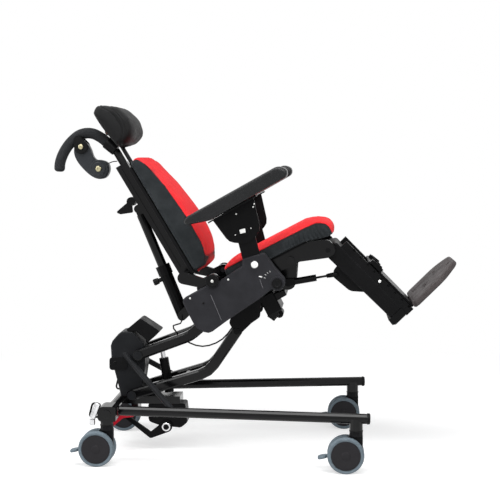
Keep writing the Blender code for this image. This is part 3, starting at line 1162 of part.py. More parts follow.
def legrest():
    axis_empty("knee_axis", KNEE_AXIS, "tilt_axis")
    outline = rounded([(LEG_BACK, LEG_BOTTOM, 0.006), (LEG_FRONT, LEG_BOTTOM, 0.006), (LEG_FRONT, -0.004, 0.008),
                       (0.010, 0.012, 0.010), (-0.012, 0.010, 0.012), (-0.016, -0.020, 0.010)])
    frame = node("legrest_frame", slab(outline, -LEG_HALF, LEG_HALF, LEG), "gloss_black", "knee_axis", bevel=0.003)
    adds = []
    cuts = []
    for side in SIDES.values():
        y0, y1 = both_sides(LEG_HALF - 0.002 - TRACK_WIDTH, LEG_HALF - 0.002, side)
        adds.append(block(LEG_FRONT - 0.004, LEG_FRONT + TRACK_DEPTH, y0, y1, TRACK_BOTTOM, -0.020, LEG))
        pitch = (-0.040 - TRACK_BOTTOM) / TRACK_NOTCHES
        for k in range(TRACK_NOTCHES):
            z = TRACK_BOTTOM + pitch * (k + 0.5)
            cuts.append(block(LEG_FRONT + TRACK_DEPTH - 0.007, LEG_FRONT + TRACK_DEPTH + 0.01,
                              *both_sides(LEG_HALF - 0.010, LEG_HALF + 0.01, side), z - 0.004, z + 0.004, LEG))
    fin = rounded([(LEG_BACK + 0.004, -0.165, 0.0), (LEG_BACK + 0.004, -0.050, 0.0), (LEG_EYE[0] + 0.004, -0.054, 0.008),
                   (LEG_EYE[0] - 0.010, -0.066, 0.008), (LEG_EYE[0] - 0.004, -0.128, 0.016)])
    adds.append(slab(fin, LEG_STRUT_Y - FIN_HALF, LEG_STRUT_Y + FIN_HALF, LEG))
    pin_reach = SEAT_RAIL_INNER + SEAT_RAIL_WIDTH
    adds.append(cross_pin(0.0, 0.0, KNEE_PIN_RADIUS, -pin_reach, pin_reach, LEG))
    weld(frame, *adds)
    cut(frame, *cuts)

    axis_empty("foot_slide_axis", LEG.at(LEG_FRONT, 0.0, FOOT_PLATE_TOP), "knee_axis")
    front = LEG_FRONT + TRACK_DEPTH
    low = FOOT_TOP - FOOT_THICKNESS + 0.005
    plate = node("foot_carrier", block(front + GAP, front + GAP + FOOT_PLATE, -FOOT_HALF * 0.74, FOOT_HALF * 0.74,
                                       low, FOOT_PLATE_TOP, LEG), "satin_black", "foot_slide_axis", bevel=0.0015)
    lugs = []
    for side in SIDES.values():
        lugs.append(block(front + GAP + FOOT_PLATE - 0.001, front + GAP + FOOT_PLATE + 0.010,
                          *both_sides(0.078, 0.100, side), FOOT_PLATE_TOP - 0.046, FOOT_PLATE_TOP - 0.004, LEG))
    weld(plate, *lugs)

    root = front + FOOT_PLATE + 2.0 * GAP + FOOT_THICKNESS / 2.0
    axis_empty("foot_axis", LEG.at(root, 0.0, FOOT_TOP - FOOT_THICKNESS / 2.0), "foot_slide_axis")
    footboard(root)


def footboard(root):
    """A moulded board with round holes, wider than the leg, its hinged end and toe end rounded."""
    half = FOOT_HALF
    depth = FOOT_TIP - root
    low = FOOT_TOP - FOOT_THICKNESS
    plan = rounded([(root, -half, 0.006), (root + depth * 0.66, -half, 0.050), (root + depth, -half * 0.55, 0.060),
                    (root + depth, half * 0.55, 0.060), (root + depth * 0.66, half, 0.050), (root, half, 0.006)],
                   math.radians(22.0))
    bm = skin([[LEG.at(x, y, z) for x, y in plan] for z in (low, FOOT_TOP)])
    board = node("footboard", bm, "foot_grey", "foot_axis", bevel=0.004)
    weld(board, cross_pin(root, low + FOOT_THICKNESS / 2.0, FOOT_THICKNESS / 2.0, -half * 0.92, half * 0.92, LEG, 20))
    holes = []
    for x, y in FOOT_HOLES:
        holes.append(rod(LEG.at(root + x, y, low - 0.005), LEG.at(root + x, y, FOOT_TOP + 0.005), FOOT_HOLE_RADIUS, 12))
    cut(board, *holes)


def leg_strut():
    start = SEAT.at(0.0, LEG_STRUT_Y, 0.0)
    eye = LEG.at(LEG_EYE[0], LEG_STRUT_Y, LEG_EYE[1])
    along = (eye - start).normalized()
    lean = math.atan2(along.z, along.x)
    line = Frame(start.x, start.z, lean)
    axis_empty("leg_strut_axis", start, "tilt_axis")
    y0 = LEG_STRUT_Y
    body = node("leg_strut_cylinder", rod(start + along * 0.020, start + along * (0.020 + LEG_STRUT_LENGTH),
                                          LEG_STRUT_RADIUS, 14), "gloss_black", "leg_strut_axis")
    weld(body, slab(hull_of_discs([(0.0, 0.0, 0.011), (0.026, 0.0, 0.007)], 16), y0 - 0.004, y0 + 0.004, line),
         cross_pin(0.0, 0.0, 0.006, y0 + 0.002, y0 + 0.0105, line))
    cut(body, rod(start + along * 0.030, start + along * (0.030 + LEG_STRUT_LENGTH), LEG_ROD_RADIUS + GAP, 10))
    axis_empty("leg_rod_axis", start + along * (0.020 + LEG_STRUT_LENGTH), "leg_strut_axis")
    length = (eye - start).length
    piston = node("leg_strut_rod", rod(start + along * 0.058, start + along * (length - 0.016), LEG_ROD_RADIUS, 10),
                  "bright_steel", "leg_rod_axis")
    cheeks = []
    for side in SIDES.values():
        c0, c1 = both_sides(FIN_HALF + RUN, FIN_HALF + RUN + 0.0035, side)
        cheeks.append(slab(hull_of_discs([(length - 0.020, 0.0, 0.0055), (length + 0.002, 0.0, 0.0065)], 12),
                           y0 + c0, y0 + c1, line))
    bridge = block(length - 0.0260, length - 0.0160, y0 - FIN_HALF - RUN - 0.0035 + 0.0003,
                   y0 + FIN_HALF + RUN + 0.0035 - 0.0003, -0.005, 0.005, line)
    weld(piston, bridge, *cheeks)


def release_cable():
    """The lock's cable: down beside the strut's ear, one slack bow between the arms, up to the seat pan."""
    foot = SEAT.at(STRUT_FOOT[0], 0.0, STRUT_FOOT[1])
    beside = -(STRUT_EAR_INNER + STRUT_EAR + RELEASE_CABLE_RADIUS + GAP)
    start = foot + Vector((0.0, beside, 0.004))
    route = [start, start - Vector((0.003, 0.0, 0.024)), in_world((-0.2560, 0.3600), beside * 0.7),
             in_world((-0.2200, 0.3180), beside * 0.3), in_world((-0.1700, 0.3000)), in_world((-0.1150, 0.3200)),
             in_world((-0.0750, 0.3700)), in_world((-0.0480, 0.4300)), in_world((-0.0330, 0.4850)),
             SEAT.at(-0.0850, 0.0, SEAT_RAIL_TOP - 0.0030)]
    cable_curve("release_cable", route, RELEASE_CABLE_RADIUS, "tilt_axis", 26)


def main():
    clear_scene()
    base()
    for corner, stem_x, half_track in (("front", FRONT_STEM_X, FRONT_HALF_TRACK), ("rear", REAR_STEM_X, REAR_HALF_TRACK)):
        for side in SIDES.values():
            caster(corner, side, stem_x, half_track)
    arm_pair("lower", LOWER_PIVOT, LOWER_KNEE, LOWER_CROSS)
    arm_pair("upper", UPPER_PIVOT, UPPER_KNEE, UPPER_CROSS)
    lift_cylinder()
    carriage()
    seat()
    armrests()
    back()
    push_handle()
    headrest()
    recline_strut()
    legrest()
    leg_strut()
    release_cable()


main()
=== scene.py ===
# %% [markdown]
# # A child's activity chair, dressed in Blender
#
# The chair stands on a caster base with lifting arms. Its seat is tilted back, the back follows,
# and the legrest is raised. The CAD model gives every solid its size, its place and its motion.
# This lesson gives each of them the finish of the real one, and replaces the soft and the turned
# pieces with finer ones. Every place below is in metres, in the CAD model's own frame: X runs
# towards the sitter's toes, Y to the sitter's left, Z up.

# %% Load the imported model
import math

import bmesh
import bpy
import numpy as np
from mathutils import Matrix, Vector
from mathutils.bvhtree import BVHTree


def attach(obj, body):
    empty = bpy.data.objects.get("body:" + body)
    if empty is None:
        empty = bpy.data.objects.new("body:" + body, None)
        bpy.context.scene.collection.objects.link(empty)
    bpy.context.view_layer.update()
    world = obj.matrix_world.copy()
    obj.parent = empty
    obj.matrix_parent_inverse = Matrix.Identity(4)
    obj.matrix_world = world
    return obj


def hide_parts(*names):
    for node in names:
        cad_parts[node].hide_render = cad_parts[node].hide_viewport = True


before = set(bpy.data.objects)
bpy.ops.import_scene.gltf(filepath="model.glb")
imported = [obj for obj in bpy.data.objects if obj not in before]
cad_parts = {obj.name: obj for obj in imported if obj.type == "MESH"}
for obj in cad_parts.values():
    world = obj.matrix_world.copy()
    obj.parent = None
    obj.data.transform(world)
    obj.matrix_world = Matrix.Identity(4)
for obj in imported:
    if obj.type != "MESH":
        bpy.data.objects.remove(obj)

scene = bpy.context.scene
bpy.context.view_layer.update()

# %% [markdown]
# ## Leaning frames
#
# Four groups of the chair lean in the side view: the seat by 27 degrees, the back by 30.5, the
# legrest by 44.4 and the armrest pads by 29. A frame with its zero on the group's axis keeps
# each piece's sizes readable: x across the group, z along it. `into_frame`, further down, goes the
# other way, and is used to colour or to clamp a mesh in the group's own directions.

# %% Leaning frames
MIDDLE_X = 0.0228


class Lean:
    """A side-view frame: a place in the XZ plane and a lean in degrees that turns X towards Z."""

    def __init__(self, x, z, degrees):
        self.matrix = Matrix.Translation((x, 0.0, z)) @ Matrix.Rotation(-math.radians(degrees), 4, "Y")
        self.back = self.matrix.inverted()
        self.degrees = degrees

    def at(self, x, y, z):
        return self.matrix @ Vector((x, y, z))

    def way(self, x, y, z):
        return (self.matrix.to_3x3() @ Vector((x, y, z))).normalized()


BASE = Lean(MIDDLE_X, 0.0, 0.0)
SEAT = Lean(0.0830 + MIDDLE_X, 0.4980, 27.0)
recline_axis = SEAT.at(-0.1763, 0.0, 0.1055)
BACK = Lean(recline_axis.x, recline_axis.z, 30.5)
knee_axis = SEAT.at(0.1447, 0.0, 0.0329)
LEG = Lean(knee_axis.x, knee_axis.z, 44.4)
post_foot = SEAT.at(-0.0600, 0.0, 0.0750)
POST = Lean(post_foot.x, post_foot.z, 14.0)
pad_axis = POST.at(0.0, 0.0, 0.1150)
PAD = Lean(pad_axis.x, pad_axis.z, 29.0)
SIDES = {"right": -1.0, "left": 1.0}
print("recline axis", recline_axis, "knee", knee_axis, "armrest", pad_axis)

# %% [markdown]
# ## Camera
#
# The photograph was taken from the chair's right side, a little from the front and above, with a
# long lens. Its place, its turn and its focal length were fitted to the wheels, the stems and the
# rails, so that each of them falls on its own spot of the picture. The camera is built from the
# three directions of that fit.

# %% Camera
CAMERA_PLACE = (0.2273, -3.4606, 0.8485)
YAW, PITCH_DOWN, ROLL = (math.radians(angle) for angle in (3.8745, 4.3942, -0.4142))
ahead = Vector((-math.sin(YAW) * math.cos(PITCH_DOWN), math.cos(YAW) * math.cos(PITCH_DOWN), -math.sin(PITCH_DOWN)))
level = Vector((math.cos(YAW), math.sin(YAW), 0.0))
upright = level.cross(ahead)
rightwards = level * math.cos(ROLL) + upright * math.sin(ROLL)
upwards = upright * math.cos(ROLL) - level * math.sin(ROLL)
camera_data = bpy.data.cameras.new("camera")
camera_data.lens = 86.03
camera_data.sensor_width = 36.0
camera_data.sensor_fit = "HORIZONTAL"
camera = bpy.data.objects.new("camera", camera_data)
scene.collection.objects.link(camera)
turn = Matrix((rightwards, upwards, -ahead)).transposed().to_4x4()
camera.matrix_world = Matrix.Translation(CAMERA_PLACE) @ turn
scene.camera = camera
print("camera looks along", ahead)

# %% [markdown]
# ## Building materials
#
# A finish is more than a colour. Each one here has small changes of tone, a roughness that
# varies, and a fine relief: the orange peel of powder paint, the spark texture of a mould, the
# weave of a cloth. A small class keeps the node trees short. All-over values are set on the
# shader's own sockets, and every pattern reads Object coordinates or an attribute of the piece,
# so that it stays on the piece when the piece moves.

# %% A short way to write node trees
def srgb(red, green, blue):
    """A colour as read off a screen, 0 to 255, as the linear numbers that shaders take."""
    return tuple((c / 255.0 / 12.92) if c < 11 else ((c / 255.0 + 0.055) / 1.055) ** 2.4 for c in (red, green, blue))


class Finish:
    """A material under construction, with short ways to add and join its nodes."""

    def __init__(self, name, colour, roughness, metallic=0.0, gloss=0.08):
        self.material = bpy.data.materials.new(name)
        self.material.use_nodes = True
        self.nodes = self.material.node_tree.nodes
        self.links = self.material.node_tree.links
        self.shader = self.nodes["Principled BSDF"]
        self.colour = colour
        self.shader.inputs["Base Color"].default_value = (*colour, 1.0)
        self.shader.inputs["Roughness"].default_value = roughness
        self.shader.inputs["Metallic"].default_value = metallic
        self.shader.inputs["Specular IOR Level"].default_value = 0.5 if metallic else gloss
        self.roughness = roughness
        self.place = self.add("ShaderNodeTexCoord").outputs["Object"]
        self.relief = None

    def add(self, kind, settings=None, **sockets):
        node = self.nodes.new(kind)
        for key, value in (settings or {}).items():
            setattr(node, key, value)
        for key, value in sockets.items():
            self.feed(node.inputs[key.replace("_", " ")], value)
        return node

    def feed(self, socket, value):
        if isinstance(value, bpy.types.NodeSocket):
            self.links.new(value, socket)
        else:
            socket.default_value = value

    def sum(self, operation, *values):
        node = self.add("ShaderNodeMath", {"operation": operation})
        for socket, value in zip(node.inputs, values):
            self.feed(socket, value)
        return node.outputs[0]

    def noise(self, scale, detail=3.0, roughness=0.55, place=None):
        return self.add("ShaderNodeTexNoise", Vector=place or self.place, Scale=scale, Detail=detail,
                        Roughness=roughness).outputs["Fac"]

    def spread(self, value, low, high, to_low=0.0, to_high=1.0):
        node = self.add("ShaderNodeMapRange", Value=value)
        for key, number in (("From Min", low), ("From Max", high), ("To Min", to_low), ("To Max", to_high)):
            node.inputs[key].default_value = number
        return node.outputs["Result"]

    def blend(self, share, first, second):
        node = self.add("ShaderNodeMix", {"data_type": "RGBA"})
        self.feed(node.inputs["Factor"], share)
        for socket, value in zip((node.inputs[6], node.inputs[7]), (first, second)):
            self.feed(socket, (*value, 1.0) if isinstance(value, tuple) and len(value) == 3 else value)
        return node.outputs[2]

    def bump(self, height, distance, strength=1.0):
        node = self.add("ShaderNodeBump", Height=height, Distance=distance, Strength=strength)
        if self.relief is not None:
            self.feed(node.inputs["Normal"], self.relief)
        self.relief = node.outputs["Normal"]

    def done(self, colour=None, roughness=None):
        if colour is not None:
            self.feed(self.shader.inputs["Base Color"], colour)
        if roughness is not None:
            self.feed(self.shader.inputs["Roughness"], roughness)
        if self.relief is not None:
            self.feed(self.shader.inputs["Normal"], self.relief)
        return self.material


def mottled(finish, amount, scale):
    """The base colour with large soft patches, lighter and darker by the amount."""
    dark = tuple(c * (1.0 - amount) for c in finish.colour)
    light = tuple(min(1.0, c * (1.0 + amount)) for c in finish.colour)
    return finish.blend(finish.spread(finish.noise(scale), 0.3, 0.7), dark, light)


def worn_edges(finish, colour, worn, radius=0.0012, share=0.6):
    """Lighter, rubbed edges: where a rounded normal departs from the true one, there is an edge."""
    rounded = finish.add("ShaderNodeBevel", {"samples": 4}, Radius=radius).outputs["Normal"]
    true = finish.add("ShaderNodeNewGeometry").outputs["Normal"]
    product = finish.add("ShaderNodeVectorMath", {"operation": "DOT_PRODUCT"})
    finish.feed(product.inputs[0], rounded)
    finish.feed(product.inputs[1], true)
    edge = finish.spread(product.outputs["Value"], 0.985, 0.90)
    patchy = finish.spread(finish.noise(55.0), 0.35, 0.65, 0.25, 1.0)
    return finish.blend(finish.sum("MULTIPLY", finish.sum("MULTIPLY", edge, patchy), share), colour, worn)


print("finish tools ready")

# %% [markdown]
# ## Paint, cast and moulded finishes
#
# The tubes and arms are powder coated: a deep black with a wet-looking gloss and a fine orange
# peel, which breaks the long highlights of the studio lamps a little. The castings and plates have
# a satin coat with a finer, duller grain. The side panels, forks and knobs are moulded plastic with
# a spark-eroded texture. One function makes all of these, because they differ only in numbers.

# %% Paint and plastic
def coated(name, colour, roughness, peel=(900.0, 0.00006), worn=None, grain=None, gloss=0.08, mottle=0.18):
    finish = Finish(name, colour, roughness, 0.0, gloss)
    tone = mottled(finish, mottle, 22.0)
    if worn:
        tone = worn_edges(finish, tone, worn)
    rough = finish.spread(finish.noise(38.0, 4.0), 0.3, 0.7, roughness * 0.82, min(1.0, roughness * 1.2))
    finish.bump(finish.noise(peel[0], 2.0), peel[1])
    if grain:
        cells = finish.add("ShaderNodeTexVoronoi", {"feature": "SMOOTH_F1"}, Vector=finish.place, Scale=grain[0])
        finish.bump(cells.outputs["Distance"], grain[1])
    return finish.done(tone, rough)


powder_black = coated("powder_black", srgb(6, 6, 7), 0.15, (650.0, 0.00003), srgb(44, 44, 46), gloss=0.22)
satin_black = coated("satin_black", srgb(8, 8, 9), 0.36, (1200.0, 0.00005), srgb(42, 42, 44), (1500.0, 0.00004))
cast_black = coated("cast_black", srgb(12, 12, 13), 0.44, (700.0, 0.00008), srgb(46, 46, 48), (900.0, 0.00010))
tower_black = coated("tower_black", srgb(26, 27, 29), 0.44, (900.0, 0.00008), srgb(72, 72, 74), (1100.0, 0.00008))
panel_grey = coated("panel_grey", srgb(39, 39, 42), 0.50, (1500.0, 0.00006), srgb(88, 88, 91), (1300.0, 0.00010))
panel_mark = coated("panel_mark", srgb(112, 112, 115), 0.50, (1500.0, 0.00006))
fork_grey = coated("fork_grey", srgb(18, 18, 20), 0.44, (1300.0, 0.00006), srgb(64, 64, 67), (1300.0, 0.00008))
knob_black = coated("knob_black", srgb(11, 11, 12), 0.36, (1400.0, 0.00006), None, (1400.0, 0.00008), gloss=0.12)
lever_grey = coated("lever_grey", srgb(44, 46, 49), 0.30, (1400.0, 0.00006), srgb(80, 82, 86), None, gloss=0.15)
foot_grey = coated("foot_grey", srgb(66, 61, 61), 0.56, (1300.0, 0.00008), srgb(98, 92, 90), (700.0, 0.00016))
pedal_red = coated("pedal_red", srgb(176, 18, 38), 0.34, (900.0, 0.00005), srgb(205, 70, 80), gloss=0.30, mottle=0.08)
knob_orange = coated("knob_orange", srgb(196, 84, 34), 0.40, (1200.0, 0.00006), None, None, gloss=0.25, mottle=0.10)
plug_white = coated("plug_white", srgb(235, 235, 233), 0.45, (1200.0, 0.00005), None, None, mottle=0.03)
print("coatings:", powder_black.name, satin_black.name, cast_black.name, panel_grey.name, foot_grey.name)

# %% [markdown]
# ## Bright metal
#
# The piston rods are ground and polished steel, with a fine turned grain round the rod. Screws and
# clips are zinc plated or brass coloured: a duller metal with blotches.

# %% Bright metal
def metal(name, colour, roughness, scratch=1800.0, blotch=0.12):
    finish = Finish(name, colour, roughness, 1.0)
    tone = mottled(finish, blotch, 90.0)
    rough = finish.spread(finish.noise(260.0, 4.0), 0.3, 0.7, roughness * 0.75, roughness * 1.35)
    finish.bump(finish.noise(scratch, 2.0), 0.00003)
    return finish.done(tone, rough)


polished_steel = metal("polished_steel", (0.62, 0.62, 0.63), 0.20)
zinc_plate = metal("zinc_plate", (0.66, 0.66, 0.64), 0.34)
pale_brass = metal("pale_brass", (0.46, 0.42, 0.27), 0.40)
print("metals:", polished_steel.name, zinc_plate.name, pale_brass.name)

# %% [markdown]
# ## Tyre and wheel disc
#
# The casters are twin wheels with a blue-grey polyurethane tyre on a darker plastic disc. The
# tyre is matt, dusty at the shoulder, and has a slight speckle; the disc has a finer mould grain.

# %% Tyre and wheel disc
def tyre_finish():
    finish = Finish("tyre_blue_grey", srgb(98, 110, 118), 0.52, 0.0, 0.15)
    dust = finish.spread(finish.noise(320.0, 5.0), 0.50, 0.72)
    tone = finish.blend(finish.sum("MULTIPLY", dust, 0.35), mottled(finish, 0.10, 45.0), srgb(140, 146, 150))
    rough = finish.spread(finish.noise(70.0), 0.3, 0.7, 0.50, 0.68)
    finish.bump(finish.noise(900.0, 3.0), 0.00008)
    return finish.done(tone, rough)


tyre_blue_grey = tyre_finish()
disc_grey = coated("disc_grey", srgb(40, 39, 41), 0.54, (1500.0, 0.00006), None, (1500.0, 0.00007), mottle=0.06)
print("wheel finishes:", tyre_blue_grey.name, disc_grey.name)

# %% [markdown]
# ## Cover cloth
#
# Seat and back cushion have one cover sewn of two cloths: a red stretch knit on the side that the
# sitter touches, and a charcoal cloth for the sides and the rear. One material shows both. Each
# cushion carries an attribute, `seam_distance`, which says how far a point is from the seam, and on
# which side. The shader switches cloth where it passes zero, so the seam is a crisp line at any
# mesh density. The weave is two crossed waves, read in Object coordinates turned into the
# cushion's own lean, 1.1 mm from thread to thread.

# %% Cover cloth
def thread_relief(finish, degrees, pitch):
    """Crossed threads: one set runs round the piece, the other across it."""
    turned = finish.add("ShaderNodeMapping", {"vector_type": "TEXTURE"}, Vector=finish.place)
    turned.inputs["Rotation"].default_value = (0.0, -math.radians(degrees), 0.0)
    parts = finish.add("ShaderNodeSeparateXYZ", Vector=turned.outputs["Vector"])
    round_way = finish.sum("ADD", parts.outputs["X"], parts.outputs["Y"])
    factor = 2.0 * math.pi / pitch
    warp = finish.sum("SINE", finish.sum("MULTIPLY", round_way, factor))
    weft = finish.sum("SINE", finish.sum("MULTIPLY", parts.outputs["Z"], factor))
    return finish.sum("MULTIPLY", warp, weft)


def cover_cloth(name, degrees):
    finish = Finish(name, srgb(236, 42, 48), 0.72, 0.0, 0.06)
    seam = finish.add("ShaderNodeAttribute", {"attribute_name": "seam_distance"}).outputs["Fac"]
    side = finish.spread(seam, -0.0003, 0.0003)
    tuck = finish.spread(finish.sum("ABSOLUTE", seam), 0.0004, 0.0035, 0.0, 1.0)
    patches = finish.spread(finish.noise(26.0, 4.0), 0.3, 0.7)
    red = finish.blend(patches, srgb(224, 34, 42), srgb(244, 50, 54))
    charcoal = finish.blend(patches, srgb(34, 37, 39), srgb(48, 51, 53))
    cloth = finish.blend(side, red, charcoal)
    threads = thread_relief(finish, degrees, 0.0011)
    lit = finish.spread(threads, -1.0, 1.0, 0.90, 1.06)
    shade = finish.sum("MULTIPLY", lit, finish.spread(tuck, 0.0, 1.0, 0.45, 1.0))
    tone = finish.add("ShaderNodeVectorMath", {"operation": "SCALE"}, Scale=shade)
    finish.feed(tone.inputs[0], cloth)
    finish.bump(finish.noise(120.0, 3.0), 0.0004, 0.5)
    finish.bump(threads, 0.00010)
    finish.shader.inputs["Sheen Weight"].default_value = 0.06
    finish.shader.inputs["Sheen Roughness"].default_value = 0.45
    return finish.done(tone.outputs["Vector"], finish.spread(patches, 0.0, 1.0, 0.66, 0.80))


back_cloth = cover_cloth("back_cover_cloth", 30.5)
seat_cloth = cover_cloth("seat_cover_cloth", 27.0)
print("cloths:", back_cloth.name, seat_cloth.name)

# %% [markdown]
# ## Coated cloth and soft foam
#
# The headrest has a black coated cloth with a leather-like grain. The armrest pads are
# polyurethane foam with a moulded skin, fine grained and a little greasy to the light. The push
# handle has a sleeve of closed foam, dull, with tiny open cells.

# %% Headrest, armrest and grip finishes
def skin(name, colour, roughness, cells, depth, sheen=0.0, patches=0.15, gloss=0.12):
    finish = Finish(name, colour, roughness, 0.0, gloss)
    grain = finish.add("ShaderNodeTexVoronoi", {"feature": "DISTANCE_TO_EDGE"}, Vector=finish.place, Scale=cells)
    creases = finish.spread(grain.outputs["Distance"], 0.0, 0.16)
    tone = finish.blend(creases, tuple(c * 0.55 for c in colour), mottled(finish, patches, 30.0))
    finish.bump(finish.noise(90.0, 3.0), 0.0003, 0.4)
    finish.bump(creases, depth)
    finish.shader.inputs["Sheen Weight"].default_value = sheen
    rough = finish.spread(finish.noise(60.0), 0.3, 0.7, roughness * 0.85, min(1.0, roughness * 1.15))
    return finish.done(tone, rough)


headrest_skin = skin("headrest_coated_cloth", srgb(13, 13, 14), 0.56, 620.0, 0.00010, gloss=0.16)
armrest_skin = skin("armrest_foam_skin", srgb(15, 16, 18), 0.28, 1100.0, 0.00005, gloss=0.30)
grip_foam = skin("grip_foam", srgb(44, 45, 47), 0.74, 900.0, 0.00014, 0.05, gloss=0.06)
cable_jacket = skin("cable_jacket", srgb(14, 14, 15), 0.45, 1500.0, 0.00006)
print("skins:", headrest_skin.name, armrest_skin.name, grip_foam.name)

# %% [markdown]
# ## Finishes on the CAD solids
#
# A CAD solid whose shape is right stays as it is and only gets its finish. Each object has
# material slots; putting a new material in them leaves the mesh alone. The list goes from
# the longest name to the shortest, so that one entry serves a whole family of solids.

# %% Dress the CAD solids
FINISH_OF = {
    "rail": powder_black, "base_cradle": powder_black, "tower_column": tower_black, "tower_hood": cast_black,
    "pump_body": satin_black, "lift_cylinder": satin_black, "pump_pedal": satin_black, "release_pedal": pedal_red,
    "lift_rod": polished_steel, "lower_arm": powder_black, "upper_arm": powder_black, "carriage_plate": satin_black,
    "carriage_block": satin_black, "tilt_axle": satin_black, "seat_frame": powder_black, "seat_pan": satin_black,
    "seat_cushion": seat_cloth, "side_panel": panel_grey, "release_cable": cable_jacket, "armrest_post": satin_black,
    "armrest_bracket": satin_black, "armrest_pad": armrest_skin, "back_frame": powder_black, "back_shell": cast_black,
    "back_cushion": back_cloth, "handle_tube": powder_black, "handle_grip": grip_foam, "lever_cable": cable_jacket,
    "hand_lever": lever_grey, "headrest_stem": powder_black, "headrest_pad": headrest_skin,
    "recline_housing": satin_black, "recline_sleeve": powder_black, "recline_lever": knob_black,
    "legrest_frame": cast_black, "foot_carrier": satin_black, "footboard": foot_grey,
    "leg_strut_cylinder": satin_black, "leg_strut_rod": satin_black, "caster_fork": fork_grey,
    "caster_wheels": disc_grey, "caster_brake": fork_grey,
}
for name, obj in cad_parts.items():
    family = max((key for key in FINISH_OF if name.startswith(key)), key=len)
    for slot in obj.material_slots:
        slot.material = FINISH_OF[family]
print(len(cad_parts), "CAD solids dressed")

# %% [markdown]
# ## Making pieces
#
# A piece is a mesh in the shared frame whose object sits at the origin. `piece` makes one, puts it
# on its body and says which CAD solids it stands for. `solid_copy` gives a merged copy of a CAD
# solid, whose own mesh is loose triangles and is left alone.

# %% Piece helpers
def piece(name, mesh, body, finishes, stands_for=(), smooth=40.0):
    """Links a finished mesh as a piece that rides on a body."""
    if isinstance(mesh, bmesh.types.BMesh):
        data = bpy.data.meshes.new(name)
        mesh.to_mesh(data)
        mesh.free()
        mesh = data
    mesh.name = name
    if len(mesh.materials) == 0:
        for finish in finishes:
            mesh.materials.append(finish)
    mesh.shade_smooth()
    if smooth:
        mesh.set_sharp_from_angle(angle=math.radians(smooth))
    obj = bpy.data.objects.new(name, mesh)
    scene.collection.objects.link(obj)
    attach(obj, body)
    if stands_for:
        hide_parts(*stands_for)
    return obj


def solid_copy(*nodes):
    """A merged copy of CAD solids, in the shared frame."""
    bm = bmesh.new()
    for node in nodes:
        bm.from_mesh(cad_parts[node].data)
    bmesh.ops.remove_doubles(bm, verts=bm.verts, dist=1e-5)
    return bm


def with_modifiers(bm, name, *steps):
    """Runs modifiers over a bmesh and returns the resulting mesh."""
    data = bpy.data.meshes.new(name)
    bm.to_mesh(data)
    bm.free()
    obj = bpy.data.objects.new(name, data)
    scene.collection.objects.link(obj)
    for kind, settings in steps:
        modifier = obj.modifiers.new(kind.lower(), kind)
        for key, value in settings.items():
            setattr(modifier, key, value)
    result = bpy.data.meshes.new_from_object(obj.evaluated_get(bpy.context.evaluated_depsgraph_get()))
    bpy.data.objects.remove(obj)
    bpy.data.meshes.remove(data)
    return result


def skin_rings(rings, bm=None, closed=False, caps=True):
    """A closed skin over rings of points; with closed, the last ring joins the first."""
    bm = bm or bmesh.new()
    loops = [[bm.verts.new(p) for p in ring] for ring in rings]
    pairs = list(zip(loops, loops[1:])) + ([(loops[-1], loops[0])] if closed else [])
    faces = []
    for a, b in pairs:
        for i in range(len(a)):
            j = (i + 1) % len(a)
            faces.append(bm.faces.new((a[i], a[j], b[j], b[i])))
    if caps and not closed:
        faces.append(bm.faces.new(loops[0][::-1]))
        faces.append(bm.faces.new(loops[-1]))
    bmesh.ops.recalc_face_normals(bm, faces=faces)
    return bm


def across(along):
    """Two directions square to one another and to the given one."""
    along = Vector(along).normalized()
    first = along.orthogonal().normalized()
    if abs(along.y) < 0.9:
        first = along.cross(Vector((0.0, 1.0, 0.0))).normalized()
    return first, along.cross(first).normalized()


def turned(centre, along, profile, sides=48, bm=None, closed=False):
    """A turned piece from (distance along, radius) pairs."""
    along = Vector(along).normalized()
    a, b = across(along)
    rings = [[Vector(centre) + along * h + (a * math.cos(t) + b * math.sin(t)) * max(r, 1e-5)
              for t in (2.0 * math.pi * k / sides for k in range(sides))] for h, r in profile]
    return skin_rings(rings, bm, closed)


def smooth_line(points, count):
    """Points on a Catmull-Rom line through the given ones."""
    points = [Vector(p) for p in points]
    ends = [points[0] * 2.0 - points[1]] + points + [points[-1] * 2.0 - points[-2]]
    line = []
    for k in range(count):
        place = k * (len(points) - 1) / (count - 1)
        i = min(int(place), len(points) - 2)
        t = place - i
        a, b, c, d = ends[i:i + 4]
        line.append(0.5 * (b * 2.0 + (c - a) * t + (a * 2.0 - b * 5.0 + c * 4.0 - d) * t * t
                           + (b * 3.0 - a - c * 3.0 + d) * t * t * t))
    return line


print("piece helpers ready")

# %% [markdown]
# ## Two small trees of Geometry Nodes
#
# Screws, stitches and welts repeat or follow a line, so Geometry Nodes make them. The first tree
# puts a head on each point of a mesh and turns it to the point's own `facing`. The second runs a
# round cord along a line: a welt, a seam's piping or an engraved mark. The third lays stitches
# along a line, one short thread after another. Each ends in Realize Instances and Set Material, and
# `grown` turns the result into a plain mesh.

# %% Tree helpers
def new_tree(name, sockets):
    tree = bpy.data.node_groups.new(name, "GeometryNodeTree")
    tree.interface.new_socket("Geometry", in_out="INPUT", socket_type="NodeSocketGeometry")
    for label, kind, value in sockets:
        socket = tree.interface.new_socket(label, in_out="INPUT", socket_type="NodeSocket" + kind)
        if value is not None:
            socket.default_value = value
    tree.interface.new_socket("Geometry", in_out="OUTPUT", socket_type="NodeSocketGeometry")
    return tree, tree.nodes.new("NodeGroupInput"), tree.nodes.new("NodeGroupOutput")


def chain(tree, start, *steps):
    """Joins nodes one after another by their geometry sockets."""
    for node, socket_in, socket_out in steps:
        tree.links.new(start, node.inputs[socket_in])
        start = node.outputs[socket_out]
    return start


